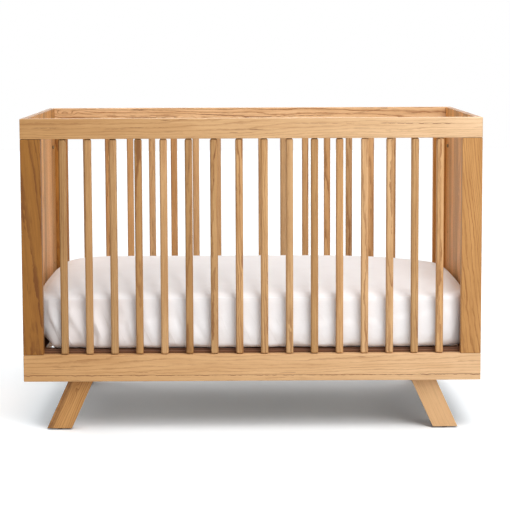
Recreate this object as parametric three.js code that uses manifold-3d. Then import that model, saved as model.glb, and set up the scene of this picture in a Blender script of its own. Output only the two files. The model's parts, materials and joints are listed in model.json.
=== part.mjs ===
// A full-size baby crib: two slatted sides with rails, posts and spindles, two solid end panels,
// four splayed legs on glides, a height-adjustable steel mattress support, and a mattress in its
// fitted sheet. Millimetres, +Z up. The origin is on the floor under the middle of the crib, X runs
// along the crib and -Y is its front.
import * as THREE from 'three';
import { mergeVertices } from 'three/addons/utils/BufferGeometryUtils.js';
import Module from 'manifold-3d';

const wasm = await Module();
wasm.setup();

// ---- Driving dimensions ---------------------------------------------------------------------
// The frame
const CRIB_LENGTH = 1365;
const CRIB_DEPTH = 762;
const CRIB_HEIGHT = 938;
const FLOOR_CLEARANCE = 153; // floor to the underside of the bottom rails
const SIDE_THICKNESS = 28; // rails and posts, front to back
const TOP_RAIL_HEIGHT = 60;
const BOTTOM_RAIL_HEIGHT = 80;
const POST_WIDTH = 60;
const PANEL_THICKNESS = 19;
const BOARD_EASE = 2; // eased edges of rails, posts, panels and legs

// Spindles and the tenons that hold spindles and posts in the rails
const SPINDLE_COUNT = 16;
const SPINDLE_WIDTH = 22;
const SPINDLE_DEPTH = 20;
const SPINDLE_EASE = 3;
const SPINDLE_TENON_DIAMETER = 12;
const SPINDLE_TENON_LENGTH = 14;
const POST_TENON_WIDTH = 36;
const POST_TENON_THICKNESS = 10;
const POST_TENON_LENGTH = 20;

// Legs and glides
const LEG_WIDTH = 68; // across the slope
const LEG_THICKNESS = 38;
const LEG_LEAN = 24.5; // degrees from upright
const LEG_FOOT_INSET = 64; // end of the crib to the outer edge of the foot
const LEG_RISE = 58; // how far a leg runs up behind its rail
const GLIDE_DIAMETER = 16;
const GLIDE_HEIGHT = 4;
const GLIDE_EASE = 1;

// Mattress support
const SUPPORT_LEVELS = 4;
const LEVEL_PITCH = 97;
const DECK_HEIGHT = 91; // bottom rail's underside to the top of the deck at the lowest level
const DECK_THICKNESS = 3;
const DECK_BAR = 14;
const DECK_CELLS_LONG = 12;
const DECK_CELLS_WIDE = 2;
const DECK_LAP = 18; // how far the deck lies over the frame's flange
const ANGLE_HEIGHT = 24;
const ANGLE_FLANGE = 25;
const ANGLE_WALL = 2.5;
const SUPPORT_SIDE_GAP = 4; // support frame to each rail
const BOLT_SETBACK = 73; // side's inner face to the column of bolt holes
const BOLT_DIAMETER = 6;
const BOLT_HEAD_DIAMETER = 13;
const BOLT_HEAD_HEIGHT = 4;
const INSERT_HOLE_DIAMETER = 9;
const INSERT_HOLE_DEPTH = 13;
const UPPER_HOLE_DROP = 127; // top of the crib to the upper hole in the same column

// Mattress and fitted sheet
const MATTRESS_END_GAP = 9.5; // mattress to each end panel
const MATTRESS_SIDE_GAP = 8; // mattress to the rails of each side
const MATTRESS_THICKNESS = 155; // at the top edge, under the crown
const MATTRESS_CROWN = 56;
const MATTRESS_CROWN_POWER = 4; // how flat the crown is in the middle
const MATTRESS_CORNER_RADIUS = 80;
const MATTRESS_TOP_RADIUS = 28;
const MATTRESS_BOTTOM_RADIUS = 20;
const SHEET_THICKNESS = 1.2;
const SHEET_HEM_WIDTH = 90; // how far the sheet turns in under the mattress

// Clearances
const SEAT = 0.3; // between pieces that rest or are fixed against each other
const TENON_CLEARANCE = 0.3; // around and beyond a tenon in its mortise
const BOLT_CLEARANCE = 0.3; // around a bolt in its hole
const SLIDE_CLEARANCE = 0.5; // support frame to each end panel
const OVERRUN = 1; // how far a cutter or a joined core runs past the face it meets

// ---- Sizes and places that follow ---------------------------------------------------------------
const HALF_LENGTH = CRIB_LENGTH / 2;
const SIDE_CENTRE = (CRIB_DEPTH - SIDE_THICKNESS) / 2;
const SIDE_INNER = CRIB_DEPTH / 2 - SIDE_THICKNESS;
const PANEL_INNER = HALF_LENGTH - PANEL_THICKNESS;
const BOTTOM_RAIL_TOP = FLOOR_CLEARANCE + BOTTOM_RAIL_HEIGHT;
const TOP_RAIL_UNDERSIDE = CRIB_HEIGHT - TOP_RAIL_HEIGHT;
const POST_CENTRE = HALF_LENGTH - POST_WIDTH / 2;
const SPINDLE_SPAN = CRIB_LENGTH - 2 * POST_WIDTH;
const SPINDLE_GAP = (SPINDLE_SPAN - SPINDLE_COUNT * SPINDLE_WIDTH) / (SPINDLE_COUNT + 1);
const SPINDLE_PITCH = SPINDLE_WIDTH + SPINDLE_GAP;
const FIRST_SPINDLE = -SPINDLE_SPAN / 2 + SPINDLE_GAP + SPINDLE_WIDTH / 2;
const LEG_TOP = FLOOR_CLEARANCE + LEG_RISE;
const DECK_TOP = FLOOR_CLEARANCE + DECK_HEIGHT;
const ANGLE_TOP = DECK_TOP - DECK_THICKNESS - SEAT;
const SUPPORT_HALF_LENGTH = PANEL_INNER - SLIDE_CLEARANCE;
const SUPPORT_HALF_WIDTH = SIDE_INNER - SUPPORT_SIDE_GAP;
const BOLT_Z = ANGLE_TOP - ANGLE_HEIGHT / 2;
const BOLT_Y = SIDE_INNER - BOLT_SETBACK;
const MATTRESS_LENGTH = 2 * (PANEL_INNER - MATTRESS_END_GAP);
const MATTRESS_WIDTH = 2 * (SIDE_INNER - MATTRESS_SIDE_GAP);
const SHEET_LOW = DECK_TOP + SEAT;
const MATTRESS_LOW = SHEET_LOW + SHEET_THICKNESS + SEAT;
const ROUND_STEPS = 8; // sides of tenons, bolts and their holes
const GLIDE_STEPS = 16;
const PAD_CORNER_STEPS = 6;
const PAD_EDGE_STEPS = 3;
const PAD_CROWN_SHARES = [0.9, 0.75, 0.5, 0];

// ---- Solids ----------------------------------------------------------------------------------
/** A geometry as a manifold solid: only positions, shared vertices merged, slivers dropped. */
function toSolid(geometry) {
  const bare = geometry.clone();
  bare.deleteAttribute('normal');
  bare.deleteAttribute('uv');
  const merged = mergeVertices(bare, 1e-4);
  const corners = merged.index.array;
  const kept = [];
  for (let i = 0; i < corners.length; i += 3) {
    const [a, b, c] = corners.slice(i, i + 3);
    if (a !== b && b !== c && c !== a) kept.push(a, b, c);
  }
  return new wasm.Manifold(new wasm.Mesh({
    numProp: 3,
    vertProperties: merged.attributes.position.array,
    triVerts: Uint32Array.from(kept),
  }));
}

/** A manifold solid as a geometry. */
function toGeometry(solid) {
  const { vertProperties, triVerts } = solid.getMesh();
  const geometry = new THREE.BufferGeometry();
  geometry.setAttribute('position', new THREE.BufferAttribute(vertProperties, 3));
  geometry.setIndex(new THREE.BufferAttribute(triVerts, 1));
  geometry.computeVertexNormals();
  return geometry;
}

const block = (x, y, z) => new THREE.BoxGeometry(x, y, z);

/** A board centred on the origin with every edge eased; its grain runs along the given axis. */
function board(x, y, z, ease, grain) {
  const [across, up, along] = { x: [z, y, x], y: [x, z, y], z: [x, y, z] }[grain];
  const [w, h] = [across / 2, up / 2];
  const outline = new THREE.Shape([
    [-w + ease, -h], [w - ease, -h], [w, -h + ease], [w, h - ease],
    [w - ease, h], [-w + ease, h], [-w, h - ease], [-w, -h + ease],
  ].map(([px, py]) => new THREE.Vector2(px, py)));
  const geometry = new THREE.ExtrudeGeometry(outline, {
    depth: along - 2 * ease,
    bevelThickness: ease,
    bevelSize: ease,
    bevelOffset: -ease,
    bevelSegments: 1,
  });
  geometry.translate(0, 0, -along / 2 + ease);
  if (grain === 'x') geometry.rotateY(Math.PI / 2);
  if (grain === 'y') geometry.rotateX(Math.PI / 2);
  return geometry;
}

/** An upright round peg or cutter between two heights, in either order. */
function peg(diameter, from, to, x = 0) {
  const geometry = new THREE.CylinderGeometry(diameter / 2, diameter / 2, Math.abs(to - from), ROUND_STEPS);
  geometry.rotateX(Math.PI / 2);
  return geometry.translate(x, 0, (from + to) / 2);
}

/** A round peg or cutter lying along X. */
function crossPeg(diameter, from, to, y, z) {
  const geometry = new THREE.CylinderGeometry(diameter / 2, diameter / 2, Math.abs(to - from), ROUND_STEPS);
  geometry.rotateZ(Math.PI / 2);
  return geometry.translate((from + to) / 2, y, z);
}

/**
 * A pad with rounded corners, rounded edges and a crowned top. A disc is lathed, and then each of
 * its columns is moved out to the rounded rectangle: an inset pulls a row in from the outline, and
 * a share below 1 draws it towards the middle.
 */
function pad({ length, width, low, high, corner, topRadius, bottomRadius, crown }) {
  const rows = [{ share: 0, inset: bottomRadius, z: low }];
  for (let i = 0; i <= PAD_EDGE_STEPS; i += 1) {
    const turn = (i / PAD_EDGE_STEPS) * Math.PI / 2;
    const inset = bottomRadius * (1 - Math.sin(turn));
    rows.push({ share: 1, inset, z: low + bottomRadius * (1 - Math.cos(turn)) });
  }
  for (let i = 0; i <= PAD_EDGE_STEPS; i += 1) {
    const turn = (i / PAD_EDGE_STEPS) * Math.PI / 2;
    const inset = topRadius * (1 - Math.cos(turn));
    rows.push({ share: 1, inset, z: high - topRadius * (1 - Math.sin(turn)) });
  }
  for (const share of PAD_CROWN_SHARES) {
    const rise = crown * (1 - share ** MATTRESS_CROWN_POWER);
    rows.push({ share, inset: topRadius, z: high + rise });
  }
  const columns = 4 * (PAD_CORNER_STEPS + 1);
  const profile = rows.map(({ share, inset, z }) => new THREE.Vector2(share * (width / 2 - inset), z));
  const geometry = new THREE.LatheGeometry(profile, columns);
  const position = geometry.attributes.position;
  for (let column = 0; column <= columns; column += 1) {
    const place = column % columns;
    const quarter = Math.floor(place / (PAD_CORNER_STEPS + 1));
    const step = place % (PAD_CORNER_STEPS + 1);
    const angle = (quarter + step / PAD_CORNER_STEPS) * Math.PI / 2;
    const [nx, ny] = [Math.cos(angle), Math.sin(angle)];
    const cx = (quarter === 0 || quarter === 3 ? 1 : -1) * (length / 2 - corner);
    const cy = (quarter < 2 ? 1 : -1) * (width / 2 - corner);
    rows.forEach(({ share, inset, z }, row) => {
      const reach = corner - inset;
      position.setXYZ(column * rows.length + row, share * (cx + reach * nx), share * (cy + reach * ny), z);
    });
  }
  return geometry;
}

// ---- Materials and the group -------------------------------------------------------------------
const crib = new THREE.Group();

/** Adds one named sub-part with a material of its own. */
function add(name, geometry, [color, roughness, metalness], parent = crib) {
  const part = new THREE.Mesh(geometry, new THREE.MeshStandardMaterial({ color, roughness, metalness }));
  part.name = name;
  parent.add(part);
  return part;
}

const OAK = [0xd6a66e, 0.55, 0];
const OAK_SPINDLE = [0xcb935a, 0.55, 0];
const OAK_PANEL = [0xb98350, 0.55, 0];
const DARK_STEEL = [0x2b2a2a, 0.5, 0.8];
const BOLT_STEEL = [0x55565a, 0.35, 1];
const GLIDE_NYLON = [0x3a2c22, 0.7, 0];
const TICKING = [0xe9e6e0, 0.9, 0];
const COTTON = [0xf6f3f2, 0.85, 0];

const SIDES = [['front', -1], ['rear', 1]];
const ENDS = [['left', -1], ['right', 1]];
const spindlePlaces = Array.from({ length: SPINDLE_COUNT }, (_, i) => FIRST_SPINDLE + i * SPINDLE_PITCH);

// ---- Slatted sides ----------------------------------------------------------------------------
/**
 * A rail with a round mortise for each spindle and a slot for each post, cut in its face at faceZ.
 * Into the rail is up (1) for a top rail and down (-1) for a bottom one.
 */
function rail(height, centreZ, faceZ, intoRail) {
  let solid = toSolid(board(CRIB_LENGTH, SIDE_THICKNESS, height, BOARD_EASE, 'x').translate(0, 0, centreZ));
  const depth = SPINDLE_TENON_LENGTH + TENON_CLEARANCE;
  const hole = SPINDLE_TENON_DIAMETER + 2 * TENON_CLEARANCE;
  for (const x of spindlePlaces) {
    solid = solid.subtract(toSolid(peg(hole, faceZ - intoRail * OVERRUN, faceZ + intoRail * depth, x)));
  }
  const slotDepth = POST_TENON_LENGTH + TENON_CLEARANCE;
  for (const [, end] of ENDS) {
    const slot = block(
      POST_TENON_WIDTH + 2 * TENON_CLEARANCE,
      POST_TENON_THICKNESS + 2 * TENON_CLEARANCE,
      2 * slotDepth,
    ).translate(end * POST_CENTRE, 0, faceZ);
    solid = solid.subtract(toSolid(slot));
  }
  return toGeometry(solid);
}

/** A post with a flat tenon on each end. */
function post() {
  const height = TOP_RAIL_UNDERSIDE - BOTTOM_RAIL_TOP - 2 * SEAT;
  const tenon = block(POST_TENON_WIDTH, POST_TENON_THICKNESS, height + 2 * (SEAT + POST_TENON_LENGTH));
  const body = board(POST_WIDTH, SIDE_THICKNESS, height, BOARD_EASE, 'z');
  return toGeometry(toSolid(body).add(toSolid(tenon)));
}

/** A spindle of eased rectangular section with a round tenon on each end. */
function spindle() {
  const half = (TOP_RAIL_UNDERSIDE - BOTTOM_RAIL_TOP) / 2;
  const body = board(SPINDLE_WIDTH, SPINDLE_DEPTH, 2 * (half - SEAT), SPINDLE_EASE, 'z');
  const reach = half + SPINDLE_TENON_LENGTH;
  return toGeometry(toSolid(body).add(toSolid(peg(SPINDLE_TENON_DIAMETER, -reach, reach))));
}

const sideMiddle = (TOP_RAIL_UNDERSIDE + BOTTOM_RAIL_TOP) / 2;
for (const [side, toward] of SIDES) {
  const group = new THREE.Group();
  group.position.y = toward * SIDE_CENTRE;
  crib.add(group);
  const topCentre = CRIB_HEIGHT - TOP_RAIL_HEIGHT / 2;
  const bottomCentre = FLOOR_CLEARANCE + BOTTOM_RAIL_HEIGHT / 2;
  add(`${side}_top_rail`, rail(TOP_RAIL_HEIGHT, topCentre, TOP_RAIL_UNDERSIDE, 1), OAK, group);
  add(`${side}_bottom_rail`, rail(BOTTOM_RAIL_HEIGHT, bottomCentre, BOTTOM_RAIL_TOP, -1), OAK, group);
  for (const [end, along] of ENDS) {
    add(`${side}_${end}_post`, post(), OAK, group).position.set(along * POST_CENTRE, 0, sideMiddle);
  }
  spindlePlaces.forEach((x, i) => {
    const name = `${side}_spindle_${String(i + 1).padStart(2, '0')}`;
    add(name, spindle(), OAK_SPINDLE, group).position.set(x, 0, sideMiddle);
  });
}

// ---- End panels -------------------------------------------------------------------------------
/** A solid end panel with two columns of blind bolt holes in its inner face. */
function endPanel(along) {
  const height = CRIB_HEIGHT - FLOOR_CLEARANCE;
  const middle = (CRIB_HEIGHT + FLOOR_CLEARANCE) / 2;
  const centre = along * (HALF_LENGTH - PANEL_THICKNESS / 2);
  const wide = 2 * (SIDE_INNER - SEAT);
  let solid = toSolid(board(PANEL_THICKNESS, wide, height, BOARD_EASE, 'z').translate(centre, 0, middle));
  const heights = Array.from({ length: SUPPORT_LEVELS }, (_, level) => BOLT_Z + level * LEVEL_PITCH);
  heights.push(CRIB_HEIGHT - UPPER_HOLE_DROP);
  for (const z of heights) {
    for (const [, toward] of SIDES) {
      const mouth = along * (PANEL_INNER - OVERRUN);
      const bottom = along * (PANEL_INNER + INSERT_HOLE_DEPTH);
      solid = solid.subtract(toSolid(crossPeg(INSERT_HOLE_DIAMETER, mouth, bottom, toward * BOLT_Y, z)));
    }
  }
  return toGeometry(solid);
}
for (const [end, along] of ENDS) add(`${end}_end_panel`, endPanel(along), OAK_PANEL);

// ---- Legs and glides --------------------------------------------------------------------------
const lean = THREE.MathUtils.degToRad(LEG_LEAN);
const legRun = LEG_WIDTH / Math.cos(lean); // the leg's width measured level
const footOuter = HALF_LENGTH - LEG_FOOT_INSET;
const legTopShift = (LEG_TOP - GLIDE_HEIGHT - SEAT) * Math.tan(lean);

/** A leaning leg: a level-cut parallelogram, its thickness along Y, for the right-hand end. */
function leg(along) {
  const foot = GLIDE_HEIGHT + SEAT;
  const corners = [
    [footOuter - legRun, foot], [footOuter, foot],
    [footOuter - legTopShift, LEG_TOP], [footOuter - legTopShift - legRun, LEG_TOP],
  ].map(([x, z]) => new THREE.Vector2(along * x, z));
  const geometry = new THREE.ExtrudeGeometry(new THREE.Shape(corners), {
    depth: LEG_THICKNESS - 2 * BOARD_EASE,
    bevelThickness: BOARD_EASE,
    bevelSize: BOARD_EASE,
    bevelOffset: -BOARD_EASE,
    bevelSegments: 1,
  });
  return geometry.translate(0, 0, -LEG_THICKNESS / 2 + BOARD_EASE).rotateX(Math.PI / 2);
}

/** A round nylon glide with an eased lower edge. */
function glide() {
  const radius = GLIDE_DIAMETER / 2;
  const profile = [
    [0, 0], [radius - GLIDE_EASE, 0], [radius, GLIDE_EASE], [radius, GLIDE_HEIGHT], [0, GLIDE_HEIGHT],
  ].map(([r, z]) => new THREE.Vector2(r, z));
  return new THREE.LatheGeometry(profile, GLIDE_STEPS).rotateX(Math.PI / 2);
}

const legY = SIDE_INNER - SEAT - LEG_THICKNESS / 2;
for (const [side, toward] of SIDES) {
  for (const [end, along] of ENDS) {
    add(`${side}_${end}_leg`, leg(along), OAK).position.y = toward * legY;
    const foot = toGeometry(toSolid(glide()));
    const place = along * (footOuter - legRun / 2);
    add(`${side}_${end}_glide`, foot, GLIDE_NYLON).position.set(place, toward * legY, 0);
  }
}

// ---- Mattress support ------------------------------------------------------------------------
/** A welded frame of steel angle: the upright wall outside, the level flange on top, facing in. */
function supportFrame() {
  const [halfX, halfY] = [SUPPORT_HALF_LENGTH, SUPPORT_HALF_WIDTH];
  const middle = ANGLE_TOP - ANGLE_HEIGHT / 2;
  const under = block(2 * (halfX - ANGLE_WALL), 2 * (halfY - ANGLE_WALL), ANGLE_HEIGHT);
  const through = block(2 * (halfX - ANGLE_FLANGE), 2 * (halfY - ANGLE_FLANGE), 2 * ANGLE_HEIGHT);
  let solid = toSolid(block(2 * halfX, 2 * halfY, ANGLE_HEIGHT).translate(0, 0, middle))
    .subtract(toSolid(under.translate(0, 0, middle - ANGLE_WALL)))
    .subtract(toSolid(through.translate(0, 0, middle)));
  for (const [, along] of ENDS) {
    for (const [, toward] of SIDES) {
      const inside = along * (halfX - ANGLE_WALL - OVERRUN);
      const outside = along * (halfX + OVERRUN);
      const hole = BOLT_DIAMETER + 2 * BOLT_CLEARANCE;
      solid = solid.subtract(toSolid(crossPeg(hole, inside, outside, toward * BOLT_Y, BOLT_Z)));
    }
  }
  return toGeometry(solid);
}

/** The deck that carries the mattress: a flat grille whose rim lies on the frame's flange. */
function deck() {
  const halfX = SUPPORT_HALF_LENGTH - ANGLE_FLANGE + DECK_LAP;
  const halfY = SUPPORT_HALF_WIDTH - ANGLE_FLANGE + DECK_LAP;
  const rim = DECK_LAP + DECK_BAR;
  const cellX = (2 * (halfX - rim) - (DECK_CELLS_LONG - 1) * DECK_BAR) / DECK_CELLS_LONG;
  const cellY = (2 * (halfY - rim) - (DECK_CELLS_WIDE - 1) * DECK_BAR) / DECK_CELLS_WIDE;
  let solid = toSolid(block(2 * halfX, 2 * halfY, DECK_THICKNESS));
  for (let i = 0; i < DECK_CELLS_LONG; i += 1) {
    for (let j = 0; j < DECK_CELLS_WIDE; j += 1) {
      const x = -halfX + rim + cellX / 2 + i * (cellX + DECK_BAR);
      const y = -halfY + rim + cellY / 2 + j * (cellY + DECK_BAR);
      solid = solid.subtract(toSolid(block(cellX, cellY, 2 * DECK_THICKNESS).translate(x, y, 0)));
    }
  }
  return toGeometry(solid).translate(0, 0, DECK_TOP - DECK_THICKNESS / 2);
}

/** A support bolt: its shank fills the frame's wall and its round head lies inside the frame. */
function supportBolt(along) {
  const seat = SUPPORT_HALF_LENGTH - ANGLE_WALL - SEAT;
  const tip = along * SUPPORT_HALF_LENGTH;
  const shank = crossPeg(BOLT_DIAMETER, along * (seat - OVERRUN), tip, 0, BOLT_Z);
  const head = crossPeg(BOLT_HEAD_DIAMETER, along * (seat - BOLT_HEAD_HEIGHT), along * seat, 0, BOLT_Z);
  return toGeometry(toSolid(shank).add(toSolid(head)));
}

add('mattress_support_frame', supportFrame(), DARK_STEEL);
add('mattress_support_deck', deck(), DARK_STEEL);
for (const [side, toward] of SIDES) {
  for (const [end, along] of ENDS) {
    add(`${side}_${end}_support_bolt`, supportBolt(along), BOLT_STEEL).position.y = toward * BOLT_Y;
  }
}

// ---- Mattress and fitted sheet ----------------------------------------------------------------
/** The mattress's own form, grown outwards by an allowance on every side. */
function mattressForm(grow) {
  return pad({
    length: MATTRESS_LENGTH + 2 * grow,
    width: MATTRESS_WIDTH + 2 * grow,
    low: MATTRESS_LOW - grow,
    high: MATTRESS_LOW + MATTRESS_THICKNESS + grow,
    corner: MATTRESS_CORNER_RADIUS + grow,
    topRadius: MATTRESS_TOP_RADIUS + grow,
    bottomRadius: MATTRESS_BOTTOM_RADIUS + grow,
    crown: MATTRESS_CROWN,
  });
}

/** The sheet: a thin skin over the mattress, open below inside its gathered hem. */
function fittedSheet() {
  const skin = toSolid(mattressForm(SEAT + SHEET_THICKNESS)).subtract(toSolid(mattressForm(SEAT)));
  const opening = block(
    MATTRESS_LENGTH - 2 * SHEET_HEM_WIDTH,
    MATTRESS_WIDTH - 2 * SHEET_HEM_WIDTH,
    MATTRESS_THICKNESS,
  ).translate(0, 0, MATTRESS_LOW - MATTRESS_THICKNESS / 2 + MATTRESS_BOTTOM_RADIUS);
  return toGeometry(skin.subtract(toSolid(opening)));
}

add('mattress', toGeometry(toSolid(mattressForm(0))), TICKING);
add('fitted_sheet', fittedSheet(), COTTON);

export default crib;
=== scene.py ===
"""A full-size baby crib in oiled oak with its steel support, mattress and fitted sheet.

Lengths are in metres and angles in degrees. X runs along the crib, -Y is its front and Z is up.
"""

import itertools
import json
import logging
import math
import random
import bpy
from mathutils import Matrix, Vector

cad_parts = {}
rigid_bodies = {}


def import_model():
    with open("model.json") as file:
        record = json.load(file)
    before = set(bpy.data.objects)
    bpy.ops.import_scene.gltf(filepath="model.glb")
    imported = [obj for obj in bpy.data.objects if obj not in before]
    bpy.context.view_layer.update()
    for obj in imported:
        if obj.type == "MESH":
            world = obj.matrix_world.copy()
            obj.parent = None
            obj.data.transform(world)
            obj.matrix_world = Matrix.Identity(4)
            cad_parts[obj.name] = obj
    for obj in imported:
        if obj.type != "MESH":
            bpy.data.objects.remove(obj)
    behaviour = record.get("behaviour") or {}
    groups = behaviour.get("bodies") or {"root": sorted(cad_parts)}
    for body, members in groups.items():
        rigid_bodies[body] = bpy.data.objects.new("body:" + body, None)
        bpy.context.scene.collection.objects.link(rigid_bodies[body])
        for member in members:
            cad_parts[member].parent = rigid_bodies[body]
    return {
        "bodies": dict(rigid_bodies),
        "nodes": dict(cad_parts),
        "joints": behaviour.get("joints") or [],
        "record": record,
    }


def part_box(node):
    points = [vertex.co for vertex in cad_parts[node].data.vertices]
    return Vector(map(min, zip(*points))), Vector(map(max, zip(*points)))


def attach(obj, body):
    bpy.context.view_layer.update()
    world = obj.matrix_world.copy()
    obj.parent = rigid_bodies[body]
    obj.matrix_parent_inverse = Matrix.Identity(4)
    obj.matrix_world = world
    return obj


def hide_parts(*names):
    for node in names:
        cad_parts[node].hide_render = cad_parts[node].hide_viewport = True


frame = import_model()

import zlib
from abc import ABC, abstractmethod
from contextlib import contextmanager
from dataclasses import dataclass
from enum import Enum
from typing import Any, Callable, ClassVar, Iterator, Sequence

import bmesh
import bpy
import numpy as np
from mathutils import Matrix, Vector, noise

LOG = logging.getLogger("crib")
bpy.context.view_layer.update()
CUT_OVER = 0.001  # how far a cutter stands out of the face that it cuts
TOUCH = 1e-5  # how near a point is to a plane that it lies in

Colour = tuple[float, float, float]
Place = tuple[float, float, float]
Piece = bpy.types.Object

X_AXIS = Vector((1.0, 0.0, 0.0))
Y_AXIS = Vector((0.0, 1.0, 0.0))
Z_AXIS = Vector((0.0, 0.0, 1.0))


class Way(Enum):
    """A way in which something lies from the middle of the crib."""

    @property
    def label(self) -> str:
        """The word for it in the names of nodes and pieces."""
        return self.name.lower()


class Side(Way):
    """The two slatted sides, by the way each lies from the middle of the crib."""

    FRONT = -1
    REAR = 1


class End(Way):
    """The two ends of the crib, by the way each lies from its middle."""

    LEFT = -1
    RIGHT = 1


class Sawn(Enum):
    """How a board lay in its log: from the board's middle to the heart, behind it and beside it."""

    FLAT = (0.085, 0.012)
    RIFT = (0.090, 0.075)
    QUARTER = (0.018, 0.115)


CORNERS = tuple(itertools.product(Side, End))


def unit(value: float) -> float:
    """The value kept between 0 and 1."""
    return min(max(value, 0.0), 1.0)


# ---- Node trees --------------------------------------------------------------------------------
class Signal:
    """A shader socket that takes part in Python sums; each sum adds a Math node."""

    def __init__(self, tree: "NodeTree", socket: bpy.types.NodeSocket) -> None:
        """Wraps a socket of a tree."""
        self.tree = tree
        self.socket = socket

    def _maths(self, operation: str, *values: Any) -> "Signal":
        """Adds a Math node that works on the given values, in order."""
        node = self.tree.add("ShaderNodeMath", {"operation": operation}, dict(enumerate(values)))
        return self.tree.read(node)

    def __add__(self, other: Any) -> "Signal":
        """This plus the other."""
        return self._maths("ADD", self, other)

    def __radd__(self, other: Any) -> "Signal":
        """The other plus this."""
        return self._maths("ADD", other, self)

    def __sub__(self, other: Any) -> "Signal":
        """This minus the other."""
        return self._maths("SUBTRACT", self, other)

    def __rsub__(self, other: Any) -> "Signal":
        """The other minus this."""
        return self._maths("SUBTRACT", other, self)

    def __mul__(self, other: Any) -> "Signal":
        """This times the other."""
        return self._maths("MULTIPLY", self, other)

    def __rmul__(self, other: Any) -> "Signal":
        """The other times this."""
        return self._maths("MULTIPLY", other, self)

    def __truediv__(self, other: Any) -> "Signal":
        """This divided by the other."""
        return self._maths("DIVIDE", self, other)

    def __rtruediv__(self, other: Any) -> "Signal":
        """The other divided by this."""
        return self._maths("DIVIDE", other, self)

    def __pow__(self, other: Any) -> "Signal":
        """This to the power of the other."""
        return self._maths("POWER", self, other)

    def part(self) -> "Signal":
        """What is left over a whole number."""
        return self._maths("FRACT", self)

    def sine(self) -> "Signal":
        """The sine of an angle in radians."""
        return self._maths("SINE", self)

    def size(self) -> "Signal":
        """The value without its sign."""
        return self._maths("ABSOLUTE", self)

    def most(self, other: Any) -> "Signal":
        """The larger of the two."""
        return self._maths("MAXIMUM", self, other)

    def least(self, other: Any) -> "Signal":
        """The smaller of the two."""
        return self._maths("MINIMUM", self, other)

    def between(self, low: float, high: float, to_low: float = 0.0, to_high: float = 1.0) -> "Signal":
        """Eases from to_low to to_high while the value goes from low to high.

        Args:
            low: The value at and below which the result is to_low.
            high: The value at and above which the result is to_high.
            to_low: The result at low.
            to_high: The result at high.

        Returns:
            The eased signal.
        """
        settings = {"interpolation_type": "SMOOTHSTEP", "clamp": True}
        values = {"Value": self, 1: low, 2: high, 3: to_low, 4: to_high}
        return self.tree.read(self.tree.add("ShaderNodeMapRange", settings, values))


class NodeTree:
    """The nodes of one material or world."""

    def __init__(self, owner: Any) -> None:
        """Empties the owner's node tree and keeps it."""
        owner.use_nodes = True
        self.tree = owner.node_tree
        self.tree.nodes.clear()

    def add(self, kind: str, settings: dict[str, Any], values: dict[Any, Any]) -> bpy.types.Node:
        """Adds a node.

        Args:
            kind: The node's type.
            settings: Its properties, which are set first.
            values: What goes into its sockets, by name or number: a Signal is linked, the rest set.

        Returns:
            The new node.
        """
        node = self.tree.nodes.new(kind)
        for name, value in settings.items():
            setattr(node, name, value)
        for key, value in values.items():
            if isinstance(value, Signal):
                self.tree.links.new(value.socket, node.inputs[key])
            elif value is not None:
                node.inputs[key].default_value = value
        return node

    def read(self, node: bpy.types.Node, output: Any = 0) -> Signal:
        """One output of a node as a signal."""
        return Signal(self, node.outputs[output])

    def attribute(self, name: str) -> Signal:
        """A vector attribute of the piece."""
        return self.read(self.add("ShaderNodeAttribute", {"attribute_name": name}, {}), "Vector")

    def amount(self, name: str) -> Signal:
        """A number that the piece carries as an attribute."""
        return self.read(self.add("ShaderNodeAttribute", {"attribute_name": name}, {}), "Fac")

    def object_place(self) -> Signal:
        """The place on the piece in object coordinates."""
        return self.read(self.add("ShaderNodeTexCoord", {}, {}), "Object")

    def split(self, vector: Signal) -> tuple[Signal, Signal, Signal]:
        """Takes a vector apart.

        Args:
            vector: The vector.

        Returns:
            Its X, Y and Z.
        """
        node = self.add("ShaderNodeSeparateXYZ", {}, {0: vector})
        return self.read(node, 0), self.read(node, 1), self.read(node, 2)

    def vector(self, operation: str, *values: Any, output: int = 0) -> Signal:
        """Vector Math on the given vectors, in order; output 1 is the one that holds a number."""
        node = self.add("ShaderNodeVectorMath", {"operation": operation}, dict(enumerate(values)))
        return self.read(node, output)

    def combine(self, x: Any, y: Any, z: Any) -> Signal:
        """A vector of three parts."""
        return self.read(self.add("ShaderNodeCombineXYZ", {}, {0: x, 1: y, 2: z}))

    def noise(self, place: Signal, period: Place, detail: float = 2.0, rough: float = 0.5) -> Signal:
        """Noise from 0 to 1, about even round a half.

        Args:
            place: Where the noise is read.
            period: The size of its marks along each axis, in the place's own unit.
            detail: How many finer layers lie on the first.
            rough: How strong the finer layers are.

        Returns:
            The noise.
        """
        stretched = self.vector("MULTIPLY", place, tuple(1.0 / p for p in period))
        values = {"Vector": stretched, "Scale": 1.0, "Detail": detail, "Roughness": rough}
        return self.read(self.add("ShaderNodeTexNoise", {}, values))

    def blend(self, share: Any, low: Any, high: Any) -> Signal:
        """Mixes two colours.

        Args:
            share: How much of the second shows.
            low: The first colour, a Signal or three numbers.
            high: The second colour.

        Returns:
            The mixed colour.
        """
        full = [c if isinstance(c, Signal) else (*c, 1.0) for c in (low, high)]
        values = {0: share, 6: full[0], 7: full[1]}
        return self.read(self.add("ShaderNodeMix", {"data_type": "RGBA"}, values), 2)

    def bump(self, height: Signal, distance: float, strength: float = 1.0) -> Signal:
        """A normal from a height of 0 to 1 that stands for a distance in metres."""
        values = {"Height": height, "Distance": distance, "Strength": strength}
        return self.read(self.add("ShaderNodeBump", {}, values))

    def surface(self, **values: Any) -> None:
        """Ends a material in a Principled shader; spaces in its socket names are underscores."""
        named = {name.replace("_", " "): value for name, value in values.items()}
        shader = self.add("ShaderNodeBsdfPrincipled", {}, named)
        self.add("ShaderNodeOutputMaterial", {}, {"Surface": self.read(shader)})


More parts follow.
